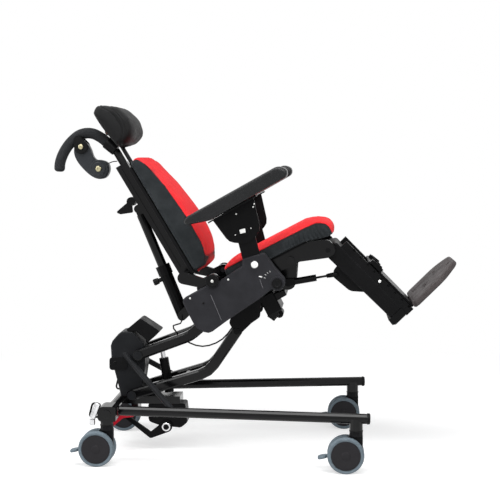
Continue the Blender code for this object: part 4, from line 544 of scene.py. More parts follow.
def finish_tree(tree, given, end, geometry):
    real = tree.nodes.new("GeometryNodeRealizeInstances")
    paint = tree.nodes.new("GeometryNodeSetMaterial")
    tree.links.new(given.outputs["Finish"], paint.inputs["Material"])
    out = chain(tree, geometry, (real, "Geometry", "Geometry"), (paint, "Geometry", "Geometry"))
    tree.links.new(out, end.inputs["Geometry"])


def grown(name, tree, seed, **values):
    """Runs a tree on a mesh and returns the plain mesh that comes out."""
    obj = bpy.data.objects.new(name, seed)
    scene.collection.objects.link(obj)
    modifier = obj.modifiers.new(name, "NODES")
    modifier.node_group = tree
    for item in tree.interface.items_tree:
        key = item.name.replace(" ", "_")
        if item.item_type == "SOCKET" and item.in_out == "INPUT" and key in values:
            modifier[item.identifier] = values[key]
    result = bpy.data.meshes.new_from_object(obj.evaluated_get(bpy.context.evaluated_depsgraph_get()))
    bpy.data.objects.remove(obj)
    return result


# %% Heads on points
def heads_tree():
    tree, given, end = new_tree("heads_on_points", [("Head", "Object", None), ("Finish", "Material", None)])
    heads = tree.nodes.new("GeometryNodeObjectInfo")
    tree.links.new(given.outputs["Head"], heads.inputs["Object"])
    facing = tree.nodes.new("GeometryNodeInputNamedAttribute")
    facing.data_type = "FLOAT_VECTOR"
    facing.inputs["Name"].default_value = "facing"
    size = tree.nodes.new("GeometryNodeInputNamedAttribute")
    size.data_type = "FLOAT"
    size.inputs["Name"].default_value = "size"
    turn_to = tree.nodes.new("FunctionNodeAlignRotationToVector")
    turn_to.axis = "Z"
    tree.links.new(facing.outputs["Attribute"], turn_to.inputs["Vector"])
    place = tree.nodes.new("GeometryNodeInstanceOnPoints")
    tree.links.new(heads.outputs["Geometry"], place.inputs["Instance"])
    tree.links.new(turn_to.outputs["Rotation"], place.inputs["Rotation"])
    tree.links.new(size.outputs["Attribute"], place.inputs["Scale"])
    points = tree.nodes.new("GeometryNodeMeshToPoints")
    out = chain(tree, given.outputs["Geometry"], (points, "Mesh", "Points"), (place, "Points", "Instances"))
    finish_tree(tree, given, end, out)
    return tree


# %% A cord along a line
def cord_tree():
    tree, given, end = new_tree("cord_on_line", [("Radius", "Float", 0.001), ("Step", "Float", 0.004),
                                                 ("Finish", "Material", None)])
    to_curve = tree.nodes.new("GeometryNodeMeshToCurve")
    even = tree.nodes.new("GeometryNodeResampleCurve")
    even.mode = "LENGTH"
    tree.links.new(given.outputs["Step"], even.inputs["Length"])
    ring = tree.nodes.new("GeometryNodeCurvePrimitiveCircle")
    ring.inputs["Resolution"].default_value = 8
    tree.links.new(given.outputs["Radius"], ring.inputs["Radius"])
    tube = tree.nodes.new("GeometryNodeCurveToMesh")
    tube.inputs["Fill Caps"].default_value = True
    tree.links.new(ring.outputs["Curve"], tube.inputs["Profile Curve"])
    out = chain(tree, given.outputs["Geometry"], (to_curve, "Mesh", "Curve"), (even, "Curve", "Curve"),
                (tube, "Curve", "Mesh"))
    finish_tree(tree, given, end, out)
    return tree


# %% Stitches along a line
def stitch_tree():
    tree, given, end = new_tree("stitches_on_line", [("Spacing", "Float", 0.004), ("Length", "Float", 0.003),
                                                     ("Thickness", "Float", 0.0004), ("Finish", "Material", None)])
    to_curve = tree.nodes.new("GeometryNodeMeshToCurve")
    even = tree.nodes.new("GeometryNodeResampleCurve")
    even.mode = "LENGTH"
    tree.links.new(given.outputs["Spacing"], even.inputs["Length"])
    thread = tree.nodes.new("GeometryNodeMeshCylinder")
    thread.inputs["Vertices"].default_value = 6
    tree.links.new(given.outputs["Thickness"], thread.inputs["Radius"])
    tree.links.new(given.outputs["Length"], thread.inputs["Depth"])
    along = tree.nodes.new("GeometryNodeInputTangent")
    turn_to = tree.nodes.new("FunctionNodeAlignRotationToVector")
    turn_to.axis = "Z"
    tree.links.new(along.outputs["Tangent"], turn_to.inputs["Vector"])
    place = tree.nodes.new("GeometryNodeInstanceOnPoints")
    tree.links.new(thread.outputs["Mesh"], place.inputs["Instance"])
    tree.links.new(turn_to.outputs["Rotation"], place.inputs["Rotation"])
    out = chain(tree, given.outputs["Geometry"], (to_curve, "Mesh", "Curve"), (even, "Curve", "Curve"),
                (place, "Points", "Instances"))
    finish_tree(tree, given, end, out)
    return tree


heads_on_points, cord_on_line, stitches_on_line = heads_tree(), cord_tree(), stitch_tree()


def line_mesh(lines, closed=False):
    """A mesh of edges only, one chain for each list of points."""
    data = bpy.data.meshes.new("lines")
    points, edges = [], []
    for line in lines:
        first = len(points)
        points += [tuple(p) for p in line]
        edges += [(first + i, first + i + 1) for i in range(len(line) - 1)]
        if closed:
            edges.append((len(points) - 1, first))
    data.from_pydata(points, edges, [])
    return data


print("trees:", heads_on_points.name, cord_on_line.name, stitches_on_line.name)

# %% [markdown]
# ## Stuffing a cushion
#
# A cushion's form comes from what is inside it. The CAD solid's merged copy is remeshed into even
# 5 mm faces, drawn in a little, and blown up by Blender's Cloth under pressure, with its seams and
# its resting face held. How far a point may move is capped, and the result is clamped to the room
# that the CAD solid has.

# %% Stuffing
def distance_in_outline(points, outline):
    """How far each 2D point lies inside a closed outline; outside is negative."""
    outline = np.asarray(outline, float)
    a, b = outline, np.roll(outline, -1, axis=0)
    best = np.full(len(points), 1e9)
    inside = np.zeros(len(points), bool)
    for p, q in zip(a, b):
        d = q - p
        t = np.clip(((points - p) @ d) / (d @ d), 0.0, 1.0)
        best = np.minimum(best, np.linalg.norm(points - (p + t[:, None] * d), axis=1))
        with np.errstate(divide="ignore", invalid="ignore"):
            crossing = (p[1] > points[:, 1]) != (q[1] > points[:, 1])
            x = p[0] + (points[:, 1] - p[1]) * d[0] / d[1]
        inside ^= crossing & (points[:, 0] < x)
    return np.where(inside, best, -best)


def coordinates(mesh):
    co = np.empty(len(mesh.vertices) * 3)
    mesh.vertices.foreach_get("co", co)
    return co.reshape(-1, 3)


def set_coordinates(mesh, co):
    mesh.vertices.foreach_set("co", np.ascontiguousarray(co, dtype=float).ravel())
    mesh.update()


def into_frame(co, lean):
    """Many points at once, from the shared frame into a leaning one."""
    m = np.array(lean.back)
    return co @ m[:3, :3].T + m[:3, 3]


def out_of_frame(co, lean):
    m = np.array(lean.matrix)
    return co @ m[:3, :3].T + m[:3, 3]


def store(mesh, name, values):
    attribute = mesh.attributes.get(name) or mesh.attributes.new(name, "FLOAT", "POINT")
    attribute.data.foreach_set("value", np.asarray(values, dtype=np.float32))


def read(mesh, name):
    values = np.empty(len(mesh.vertices), dtype=np.float32)
    mesh.attributes[name].data.foreach_get("value", values)
    return values.astype(float)


def normals_of(mesh):
    n = np.empty(len(mesh.vertices) * 3)
    mesh.vertices.foreach_get("normal", n)
    return n.reshape(-1, 3)


def blow_up(mesh, held, pressure, cap, frames=20):
    """Cloth under pressure on a closed mesh. Held points stay, and the rest move at most the cap."""
    obj = bpy.data.objects.new("stuffing", mesh)
    scene.collection.objects.link(obj)
    group = obj.vertex_groups.new(name="held")
    for index in np.nonzero(held)[0]:
        group.add([int(index)], 1.0, "REPLACE")
    cloth = obj.modifiers.new("cloth", "CLOTH")
    cloth.settings.use_pressure = True
    cloth.settings.uniform_pressure_force = pressure
    cloth.settings.effector_weights.gravity = 0.0
    cloth.settings.vertex_group_mass = "held"
    cloth.settings.quality = 5
    cloth.point_cache.frame_start, cloth.point_cache.frame_end = 1, frames
    before = coordinates(mesh)
    for number in range(1, frames + 1):
        scene.frame_set(number)
    moved = bpy.data.meshes.new_from_object(obj.evaluated_get(bpy.context.evaluated_depsgraph_get()))
    after = coordinates(moved)
    scene.frame_set(1)
    bpy.data.objects.remove(obj)
    bpy.data.meshes.remove(moved)
    shift = after - before
    length = np.linalg.norm(shift, axis=1, keepdims=True)
    return before + shift * np.minimum(1.0, cap / np.maximum(length, 1e-9))


def subdivided(mesh, levels=1):
    bm = bmesh.new()
    bm.from_mesh(mesh)
    return with_modifiers(bm, "subdivided", ("SUBSURF", {"levels": levels, "render_levels": levels}))


def stuffed(node, lean, voxel, shrink, cap, pressure, seam, rest, room):
    """A stuffed copy of a CAD cushion. seam and rest take the points in the cushion's frame and
    give the distance from the seam and which points rest on something; room clamps the result."""
    mesh = with_modifiers(solid_copy(node), "remeshed", ("REMESH", {"mode": "VOXEL", "voxel_size": voxel}))
    co = coordinates(mesh)
    local = into_frame(co, lean)
    distance = seam(local)
    resting = rest(local)
    drawn = co - normals_of(mesh) * (shrink * (1.0 - resting.astype(float)))[:, None]
    near = np.clip(1.0 - np.abs(distance) / 0.009, 0.0, 1.0) * (1.0 - resting.astype(float))
    drawn -= normals_of(mesh) * (near * 0.0022)[:, None]
    set_coordinates(mesh, drawn)
    store(mesh, "seam_distance", distance)
    held = resting | (np.abs(distance) < voxel * 0.55)
    co = blow_up(mesh, held, pressure, cap)
    set_coordinates(mesh, out_of_frame(room(into_frame(co, lean)), lean))
    return subdivided(mesh)


print("stuffing tools ready")

# %% [markdown]
# ## Seams
#
# The seam between the two cloths is where `seam_distance` is zero. Walking over the faces that
# this level crosses gives it as a chain of points, on the stuffed surface itself, and the trees
# then lay a thin piping in the seam and a row of stitches beside it.

# %% Lines on a surface
def level_lines(mesh, name, level, shortest=12):
    """The chains of points where an attribute passes a level, with the surface's normals there."""
    values = read(mesh, name) - level
    values[values == 0.0] = 1e-9
    co, normal = coordinates(mesh), normals_of(mesh)
    links, places = {}, {}
    for polygon in mesh.polygons:
        corners = list(polygon.vertices)
        hits = []
        for i, j in zip(corners, corners[1:] + corners[:1]):
            if values[i] * values[j] < 0.0:
                key = (min(i, j), max(i, j))
                t = values[key[0]] / (values[key[0]] - values[key[1]])
                places[key] = (co[key[0]] * (1 - t) + co[key[1]] * t, normal[key[0]] * (1 - t) + normal[key[1]] * t)
                hits.append(key)
        if len(hits) == 2:
            links.setdefault(hits[0], []).append(hits[1])
            links.setdefault(hits[1], []).append(hits[0])
    lines, seen = [], set()
    for start in sorted(links):
        if start in seen:
            continue
        line, here = [start], start
        seen.add(start)
        while True:
            ahead_ = [k for k in links[here] if k not in seen]
            if not ahead_:
                break
            here = ahead_[0]
            seen.add(here)
            line.append(here)
        if len(line) >= shortest:
            lines.append([(Vector(places[k][0]), Vector(places[k][1]).normalized()) for k in line])
    return lines


def raised(lines, lift, thin=1):
    """The chains' points moved off the surface, with every so many kept."""
    return [[p + n * lift for p, n in line[::thin]] for line in lines]


def sewn(name, mesh, body, level, stitches, finish, piping=None):
    """The piping in a cover's seam and the stitches beside it, as pieces on the cover's body."""
    made = []
    if piping:
        seed = line_mesh(raised(level_lines(mesh, "seam_distance", level), -0.0003, 3), True)
        made.append(piece(name + "_piping", grown(name, cord_on_line, seed, Radius=piping, Step=0.004, Finish=finish),
                          body, [finish]))
    if stitches is not None:
        seed = line_mesh(raised(level_lines(mesh, "seam_distance", stitches), 0.0001, 3), True)
        made.append(piece(name + "_stitches", grown(name, stitches_on_line, seed, Spacing=0.0042, Length=0.0030,
                                                    Thickness=0.00035, Finish=finish), body, [finish]))
    return made


thread_dark = skin("thread_dark", srgb(30, 30, 32), 0.7, 2500.0, 0.00004, 0.2)
print("seam tools ready")

# %% [markdown]
# ## Back cushion
#
# The back cushion is thickest at the sitter's lower back and thins towards the shoulders. Its red
# cloth covers the front and wraps over the top and under the bottom; the charcoal panels fill the
# sides and the rear. Seen from the side, the seam runs 24 mm in front of the recline axis, which
# leaves a red band that swells and narrows with the crown.

# %% Back cushion
CUSHION_LOW, CUSHION_TOP, CUSHION_REAR = 0.036, 0.413, -0.036
back_seam = [(-0.080, CUSHION_LOW + 0.007), (0.004, CUSHION_LOW + 0.006), (0.018, CUSHION_LOW + 0.022),
             (0.0235, 0.110), (0.0245, 0.190), (0.0215, 0.280), (0.0130, 0.350), (-0.0020, 0.392),
             (-0.0130, CUSHION_TOP - 0.007), (-0.080, CUSHION_TOP - 0.006)]
back_cover_mesh = stuffed(
    "back_cushion", BACK, 0.005, 0.005, 0.009, 4.0,
    seam=lambda p: distance_in_outline(p[:, [0, 2]], back_seam),
    rest=lambda p: p[:, 0] < CUSHION_REAR + 0.004,
    room=lambda p: np.column_stack((np.maximum(p[:, 0], CUSHION_REAR), np.clip(p[:, 1], -0.156, 0.156), p[:, 2])))
back_cover = piece("back_cover", back_cover_mesh, "back", [back_cloth], ["back_cushion"], smooth=None)
sewn("back_seam", back_cover_mesh, "back", 0.0, 0.0045, thread_dark, 0.0009)
print("back cover:", len(back_cover.data.polygons), "faces")

# %% [markdown]
# ## Seat cushion
#
# The seat cushion is cut the same way: red on top and round the front edge, charcoal sides. Near
# the front corner its side cloth is gathered into small upright folds, because it has to follow
# the curve of the front edge. The folds are moved into the mesh after the stuffing.

# %% Seat cushion
SEAT_TOP, SEAT_LOW = 0.127, 0.0836
seat_seam = [(-0.152, 0.020), (-0.152, SEAT_TOP - 0.010), (0.040, SEAT_TOP - 0.0085), (0.110, SEAT_TOP - 0.0090),
             (0.150, SEAT_TOP - 0.0120), (0.172, 0.103), (0.1805, 0.085), (0.1790, 0.020)]


def gathered(mesh, lean, depth=0.0022):
    """Upright folds in the side cloth near the front corner."""
    co = coordinates(mesh)
    local = into_frame(co, lean)
    side = np.sign(local[:, 1]) * (np.abs(local[:, 1]) > 0.125)
    wander = 0.35 * np.sin(local[:, 2] * 210.0 + 1.3) + 0.5 * np.sin(local[:, 0] * 95.0)
    folds = np.sin(local[:, 0] * 2.0 * math.pi / 0.0115 + wander * 2.0)
    reach = np.clip((local[:, 0] - 0.035) / 0.040, 0.0, 1.0) * np.clip((0.176 - local[:, 0]) / 0.012, 0.0, 1.0)
    height = np.clip((read(mesh, "seam_distance") - 0.002) / 0.010, 0.0, 1.0)
    local[:, 1] += side * depth * folds * reach * height
    set_coordinates(mesh, out_of_frame(local, lean))


seat_cover_mesh = stuffed(
    "seat_cushion", SEAT, 0.005, 0.004, 0.008, 4.0,
    seam=lambda p: distance_in_outline(p[:, [0, 2]], seat_seam),
    rest=lambda p: (p[:, 2] < SEAT_LOW + 0.0035) & (p[:, 0] < 0.108),
    room=lambda p: np.column_stack((p[:, 0], np.clip(p[:, 1], -0.1600, 0.1600),
                                    np.where(p[:, 0] < 0.104, np.maximum(p[:, 2], SEAT_LOW), p[:, 2]))))
gathered(seat_cover_mesh, SEAT)
seat_cover = piece("seat_cover", seat_cover_mesh, "seat", [seat_cloth], ["seat_cushion"], smooth=None)
sewn("seat_seam", seat_cover_mesh, "seat", 0.0, 0.0040, thread_dark, 0.0009)
print("seat cover:", len(seat_cover.data.polygons), "faces")

# %% [markdown]
# ## Headrest
#
# The headrest is a deep pad on a flat board. Its cover has two parallel welts close behind the
# front panel, which sink a little into the foam, and its front swells between them and the ends.
# The pad is lofted: one side outline, drawn in and shortened towards both ends. A groove at the
# rear lets the stem and the knob through, and two cheeks hold it on the pivot.

# %% Headrest pad
HEAD_PIVOT = BACK.at(-0.0590, 0.0, 0.5180)
HEAD = Lean(HEAD_PIVOT.x, HEAD_PIVOT.z, 30.5)
HEAD_REAR, HEAD_HALF_HEIGHT, HEAD_DEPTH, HEAD_HALF_WIDTH = -0.0050, 0.070, 0.092, 0.115
HEAD_GROOVE, HEAD_RISE = 0.030, 0.004


def rounded_outline(corners, step=8.0):
    """An outline in 2D with an arc of the given radius at each corner."""
    outline = []
    for i, (x, z, radius) in enumerate(corners):
        here = Vector((x, z))
        back = (Vector(corners[i - 1][:2]) - here).normalized()
        ahead_ = (Vector(corners[(i + 1) % len(corners)][:2]) - here).normalized()
        inside = math.acos(max(-1.0, min(1.0, back.dot(ahead_))))
        if radius <= 0.0 or math.pi - inside < 0.05:
            outline.append(here)
            continue
        first, last = here + back * radius / math.tan(inside / 2.0), here + ahead_ * radius / math.tan(inside / 2.0)
        middle = here + (back + ahead_).normalized() * (radius / math.sin(inside / 2.0))
        pieces = max(2, round(math.degrees(math.pi - inside) / step))
        start, end = first - middle, last - middle
        sweep = start.angle_signed(end)
        outline += [middle + Matrix.Rotation(-sweep * k / pieces, 2) @ start for k in range(pieces + 1)]
    return outline


def lofted(outline, half_width, lean, draw_in, stations=33, power=6.0):
    """A stuffed form: its side outline, drawn in towards both sides."""
    middle = sum(outline, Vector((0.0, 0.0))) / len(outline)
    rings = []
    for k in range(stations):
        share = math.sin(math.pi / 2.0 * (2.0 * k / (stations - 1) - 1.0))
        inset = draw_in * (1.0 - math.sqrt(max(0.0, 1.0 - abs(share) ** power)))
        rings.append([lean.at(p.x - (p - middle).normalized().x * inset, share * half_width,
                              p.y - (p - middle).normalized().y * inset) for p in outline])
    return skin_rings(rings)


def box_mesh(lean, x0, x1, y0, y1, z0, z1, bm=None):
    rings = [[lean.at(x, y, z) for x, y in ((x0, y0), (x1, y0), (x1, y1), (x0, y1))] for z in (z0, z1)]
    return skin_rings(rings, bm)


def carved(bm, cutter, operation="DIFFERENCE"):
    """One Boolean step between two bmeshes."""
    data = bpy.data.meshes.new("cutter")
    cutter.to_mesh(data)
    cutter.free()
    tool = bpy.data.objects.new("cutter", data)
    scene.collection.objects.link(tool)
    mesh = with_modifiers(bm, "carved", ("BOOLEAN", {"operation": operation, "object": tool, "solver": "EXACT"}))
    bpy.data.objects.remove(tool)
    result = bmesh.new()
    result.from_mesh(mesh)
    bpy.data.meshes.remove(mesh)
    return result


half = HEAD_HALF_HEIGHT
head_outline = rounded_outline([
    (HEAD_REAR + HEAD_DEPTH * 0.12, -half * 0.88, 0.006), (HEAD_REAR + HEAD_DEPTH * 0.45, -half, 0.030),
    (HEAD_REAR + HEAD_DEPTH * 0.87, -half * 0.86, 0.035), (HEAD_REAR + HEAD_DEPTH, -half * 0.15, 0.050),
    (HEAD_REAR + HEAD_DEPTH * 0.83, half * 0.57, 0.050), (HEAD_REAR + HEAD_DEPTH * 0.27, half * 1.10, 0.020),
    (HEAD_REAR, half * 0.86, 0.008)])
head_outline = [p + Vector((0.0, HEAD_RISE)) for p in head_outline]
head_form = carved(lofted(head_outline, HEAD_HALF_WIDTH, HEAD, 0.022),
                   box_mesh(HEAD, HEAD_REAR - 0.012, HEAD_REAR + HEAD_GROOVE, -0.0305, 0.0240, -half - 0.010, 0.016))
head_mesh = with_modifiers(head_form, "head_remeshed", ("REMESH", {"mode": "VOXEL", "voxel_size": 0.004}))
head_co = into_frame(coordinates(head_mesh), HEAD)
WELTS = (0.0, 0.0135)
above = np.clip(head_co[:, 2] - 0.007, 0.0, None)
below = np.clip(0.007 - head_co[:, 2], 0.0, None)
welt_line = 0.0532 - 5.6 * above ** 2 - 158.0 * below ** 3
store(head_mesh, "welt_distance", head_co[:, 0] - welt_line)
in_groove = (head_co[:, 0] < HEAD_REAR + HEAD_GROOVE + 0.004) & (np.abs(head_co[:, 1] + 0.0033) < 0.0313)
in_groove &= head_co[:, 2] < 0.021
welt_depth = sum(np.exp(-((head_co[:, 0] - welt_line - w) / 0.0030) ** 2) for w in WELTS)
sink = np.where(in_groove, 0.0, 0.0030 + 0.0018 * welt_depth)
sunk = coordinates(head_mesh) - normals_of(head_mesh) * sink[:, None]
set_coordinates(head_mesh, sunk)
head_held = in_groove | (welt_depth > 0.65)
blown = into_frame(blow_up(head_mesh, head_held, 4.0, 0.006), HEAD)
blown[:, 0] = np.maximum(blown[:, 0], HEAD_REAR)
set_coordinates(head_mesh, out_of_frame(blown, HEAD))
head_cover_mesh = subdivided(head_mesh)
head_cover = piece("headrest_cover", head_cover_mesh, "headrest", [headrest_skin], ["headrest_pad"],
                   smooth=None)
for number, offset in enumerate(WELTS):
    lines = raised(level_lines(head_cover_mesh, "welt_distance", offset), 0.0002, 3)
    piece(f"headrest_welt_{number}", grown("welt", cord_on_line, line_mesh(lines, True), Radius=0.0015, Step=0.004,
                                           Finish=headrest_skin), "headrest", [headrest_skin])
print("headrest:", len(head_cover.data.polygons), "faces")

# %% [markdown]
# ## Headrest hardware
#
# Two cheeks come out of the pad's groove and hold the block on the stem between them. The orange
# knob clamps them. Its rim has ten grip lobes, made by letting the turned radius wave.

# %% Cheeks and knob
def belt(discs, count=48):
    """The outline of a belt round several discs, each (x, z, radius)."""
    turns = [2 * math.pi * k / count for k in range(count)]
    points = sorted({(round(x + r * math.cos(t), 7), round(z + r * math.sin(t), 7)) for x, z, r in discs for t in turns})

    def half_hull(ordered):
        hull = []
        for p in ordered:
            while len(hull) > 1 and ((hull[-1][0] - hull[-2][0]) * (p[1] - hull[-2][1])
                                     - (hull[-1][1] - hull[-2][1]) * (p[0] - hull[-2][0])) <= 1e-12:
                hull.pop()
            hull.append(p)
        return hull[:-1]

    return half_hull(points) + half_hull(points[::-1])


def plate(outline, y0, y1, lean, bevel=0.0006, bm=None):
    """A flat plate from a side-view outline, with its long edges taken off."""
    low, high = min(y0, y1), max(y0, y1)
    centre = Vector((sum(p[0] for p in outline), sum(p[1] for p in outline))) / len(outline)
    rings = []
    for y, inset in ((low, bevel), (low + bevel, 0.0), (high - bevel, 0.0), (high, bevel)):
        ring = []
        for x, z in outline:
            out = (Vector((x, z)) - centre)
            ring.append(lean.at(x - out.normalized().x * inset, y, z - out.normalized().y * inset))
        rings.append(ring)
    return skin_rings(rings, bm)


def lobed(centre, along, profile, lobes, depth, sides=80):
    """A turned knob whose rim waves into grip lobes."""
    along = Vector(along).normalized()
    a, b = across(along)
    rings = []
    for h, r in profile:
        ring = []
        for k in range(sides):
            t = 2.0 * math.pi * k / sides
            reach = r * (1.0 - depth * (0.5 - 0.5 * math.cos(lobes * t)))
            ring.append(Vector(centre) + along * h + (a * math.cos(t) + b * math.sin(t)) * reach)
        rings.append(ring)
    return skin_rings(rings)


cheeks = bmesh.new()
for side in SIDES.values():
    plate(belt([(0.0, 0.0, 0.0065), (HEAD_REAR + HEAD_GROOVE + 0.003, 0.004, 0.005)]), side * 0.0136, side * 0.0166,
          HEAD, bm=cheeks)
piece("headrest_cheeks", cheeks, "headrest", [satin_black])
KNOB_PROFILE = [(0.0, 0.0080), (0.0008, 0.0094), (0.0095, 0.0098), (0.0112, 0.0088), (0.0116, 0.0050), (0.0112, 0.0)]
knob = lobed(HEAD.at(0.0, -0.0172, 0.0), (0.0, -1.0, 0.0), KNOB_PROFILE, 10, 0.12)
piece("headrest_knob", knob, "headrest_stem", [knob_orange])
print("headrest hardware made")

# %% [markdown]
# ## Casters
#
# Each caster is a pair of wheels on one axle. A wheel is a lathe job: a wide tyre with a rounded
# tread, a shallow groove where it meets the disc, and a dished disc with a small hub cap. The
# tyre and the disc are two finishes on one mesh, chosen by the radius of each face.

# %% Wheels
WHEEL_RADIUS, WHEEL_INNER, WHEEL_OUTER = 0.050, 0.0085, 0.0275


def wheel_profile():
    """(distance from the middle, radius) from the axle's inner end to the hub cap outside."""
    crown = [(WHEEL_INNER + 0.0095 - 0.0095 * math.cos(t), WHEEL_RADIUS - 0.0040 + 0.0040 * math.sin(t))
             for t in (math.pi * k / 12.0 for k in range(13))]
    return ([(0.0, 0.0060), (WHEEL_INNER, 0.0060), (WHEEL_INNER, 0.0120), (WHEEL_INNER + 0.0012, 0.0140),
             (WHEEL_INNER + 0.0012, 0.0380), (WHEEL_INNER, 0.0400)] + crown
            + [(WHEEL_OUTER - 0.0004, 0.0440), (WHEEL_OUTER - 0.0010, 0.0412), (WHEEL_OUTER - 0.0024, 0.0404),
               (WHEEL_OUTER - 0.0024, 0.0398), (WHEEL_OUTER - 0.0006, 0.0390), (WHEEL_OUTER - 0.0002, 0.0360),
               (WHEEL_OUTER - 0.0008, 0.0240), (WHEEL_OUTER - 0.0014, 0.0120), (WHEEL_OUTER - 0.0006, 0.0112),
               (WHEEL_OUTER, 0.0095), (WHEEL_OUTER + 0.0001, 0.0)])


for corner, stem_x, half_track in (("front", 0.2720, 0.2710), ("rear", -0.4170, 0.2215)):
    for word, side in SIDES.items():
        axle = BASE.at(stem_x - 0.028, side * half_track, WHEEL_RADIUS)
        half_profile = wheel_profile()
        profile = [(-h, r) for h, r in half_profile[:0:-1]] + half_profile[1:]
        wheels = turned(axle, (0.0, 1.0, 0.0), profile, 64)
        for face in wheels.faces:
            middle = face.calc_center_median() - axle
            radius = math.hypot(middle.x, middle.z)
            face.material_index = 0 if radius > 0.0399 or abs(middle.y) < WHEEL_INNER - 0.0005 else 1
        piece(f"wheels_{corner}_{word}_turned", wheels, f"wheels_{corner}_{word}", [tyre_blue_grey, disc_grey],
              [f"caster_wheels_{corner}_{word}"], smooth=30.0)
print("four pairs of wheels turned")

# %% [markdown]
# ## Armrest pads
#
# The pads are soft polyurethane foam with a moulded skin. Their underside rises towards the front,
# so that the tip is thin and rounded. The CAD solid's copy is remeshed and eased rather than
# simulated, because such a pad keeps its moulded shape.

# %% Armrest pads
PAD_ENDS = (-0.1280, 0.1880)
PAD_MIDDLE = sum(PAD_ENDS) / 2.0
for word, side in SIDES.items():
    node = f"armrest_pad_{word}"
    mesh = with_modifiers(solid_copy(node), "pad", ("REMESH", {"mode": "VOXEL", "voxel_size": 0.004}),
                          ("SMOOTH", {"factor": 0.5, "iterations": 6}),
                          ("SUBSURF", {"levels": 1, "render_levels": 1}))
    local = into_frame(coordinates(mesh), PAD)
    local[:, 0] = np.clip(PAD_MIDDLE + (local[:, 0] - PAD_MIDDLE) * 1.015, PAD_ENDS[0], PAD_ENDS[1])
    set_coordinates(mesh, out_of_frame(local, PAD))
    pad = piece(f"armrest_cushion_{word}", mesh, f"armrest_{word}", [armrest_skin], [node], smooth=None)
print("armrest pads made")

# %% [markdown]
# ## Push handle grip
#
# The grip is a foam sleeve over the bent end of the handle tube, closed by a rounded cap. A fine
# tube swept along the same line as the CAD grip gives it an even outline. Its lower end is a thicker
# collar, and two ears under it hold the hand lever.

# %% Grip
GRIP_LINE = [(-0.0723, 0.4700), (-0.0775, 0.4830), (-0.0830, 0.5000), (-0.0905, 0.5190), (-0.1030, 0.5385),
             (-0.1205, 0.5515), (-0.1425, 0.5572), (-0.1690, 0.5535), (-0.1940, 0.5445), (-0.2170, 0.5310),
             (-0.2345, 0.5150), (-0.2468, 0.4965)]
GRIP_RADIUS, GRIP_DOME = 0.0156, 0.010
LEVER_PIVOT, LEVER_BOSS = (-0.1517, 0.5240), (-0.1401, 0.4429)
SIDEWAYS = Vector((0.0, 1.0, 0.0))


def walked(line, length):
    """The place that lies a length along a line of points, and the line's direction there."""
    for a, b in zip(line, line[1:]):
        step = (b - a).length
        if length <= step or b is line[-1]:
            return a + (b - a).normalized() * length, (b - a).normalized()
        length -= step


def sleeve(line, profile, sides=32, bm=None):
    """A round sleeve on a line in the middle plane, from (length along, radius) pairs."""
    rings = []
    for length, radius in profile:
        here, along = walked(line, length)
        out = along.cross(SIDEWAYS)
        rings.append([here + (SIDEWAYS * math.cos(t) + out * math.sin(t)) * radius
                      for t in (2.0 * math.pi * k / sides for k in range(sides))])
    return skin_rings(rings, bm)


grip_line = [BACK.at(p.x, 0.0, p.y) for p in smooth_line(GRIP_LINE, 160)]
grip_length = sum((b - a).length for a, b in zip(grip_line, grip_line[1:]))
along_grip = [0.012 + (grip_length - GRIP_DOME - 0.012) * k / 60 for k in range(61)]
dome = [(grip_length - GRIP_DOME * (1.0 - math.sin(t)), GRIP_RADIUS * (0.3 + 0.7 * math.cos(t)))
        for t in (math.pi / 2.0 * k / 8 for k in range(1, 9))]
grip_sleeve = sleeve(grip_line, [(length, GRIP_RADIUS) for length in along_grip] + dome)
piece("grip_sleeve", grip_sleeve, "back", [grip_foam], ["handle_grip"], smooth=50.0)
collar = sleeve(grip_line, [(-0.0060, 0.0174), (-0.0048, 0.0186), (0.0290, 0.0190), (0.0304, 0.0178)])
piece("grip_collar", collar, "back", [knob_black])
bracket = bmesh.new()
for side in SIDES.values():
    plate(belt([(*LEVER_PIVOT, 0.0205), (-0.1477, 0.5480, 0.0110)]), side * 0.0146, side * 0.0190, BACK, 0.0008,
          bracket)
box_mesh(BACK, -0.1577, -0.1377, -0.0186, 0.0186, 0.5420, 0.5520, bracket)
piece("lever_bracket", bracket, "back", [knob_black])
print("grip length", round(grip_length, 4))

# %% Hand lever
def closed_line(points, each=6):
    """A smooth closed outline through points in the side view."""
    wrapped = [points[-1]] + points + points[:2]
    line = smooth_line(wrapped, (len(wrapped) - 1) * each + 1)
    return [tuple(p) for p in line[each:-each - 1]]


lever_outline = closed_line([
    (-0.1517, 0.5375), (-0.1700, 0.5330), (-0.1815, 0.5150), (-0.1840, 0.4900), (-0.1790, 0.4600),
    (-0.1690, 0.4330), (-0.1550, 0.4170), (-0.1360, 0.4115), (-0.1180, 0.4220), (-0.1095, 0.4400),
    (-0.1160, 0.4560), (-0.1310, 0.4660), (-0.1365, 0.4820), (-0.1320, 0.5050), (-0.1335, 0.5250)])
lever = plate(lever_outline, -0.0140, 0.0140, BACK, 0.0030)
boss = [(0.0000, 0.0260), (0.0170, 0.0260), (0.0180, 0.0248), (0.0180, 0.0200), (0.0205, 0.0196), (0.0215, 0.0184),
        (0.0215, 0.0)]
turned(BACK.at(LEVER_BOSS[0], 0.0, LEVER_BOSS[1]), SIDEWAYS, [(-h, r) for h, r in boss[:0:-1]] + boss, 56, lever)
piece("hand_lever_moulded", lever, "hand_lever", [lever_grey], ["hand_lever"], smooth=30.0)
print("hand lever made")

# %% [markdown]
# ## Recline strut
#
# Where the sliding sleeve leaves the strut's housing there is a bright steel ring, and beside it a
# small black knob sticks out to the rear.

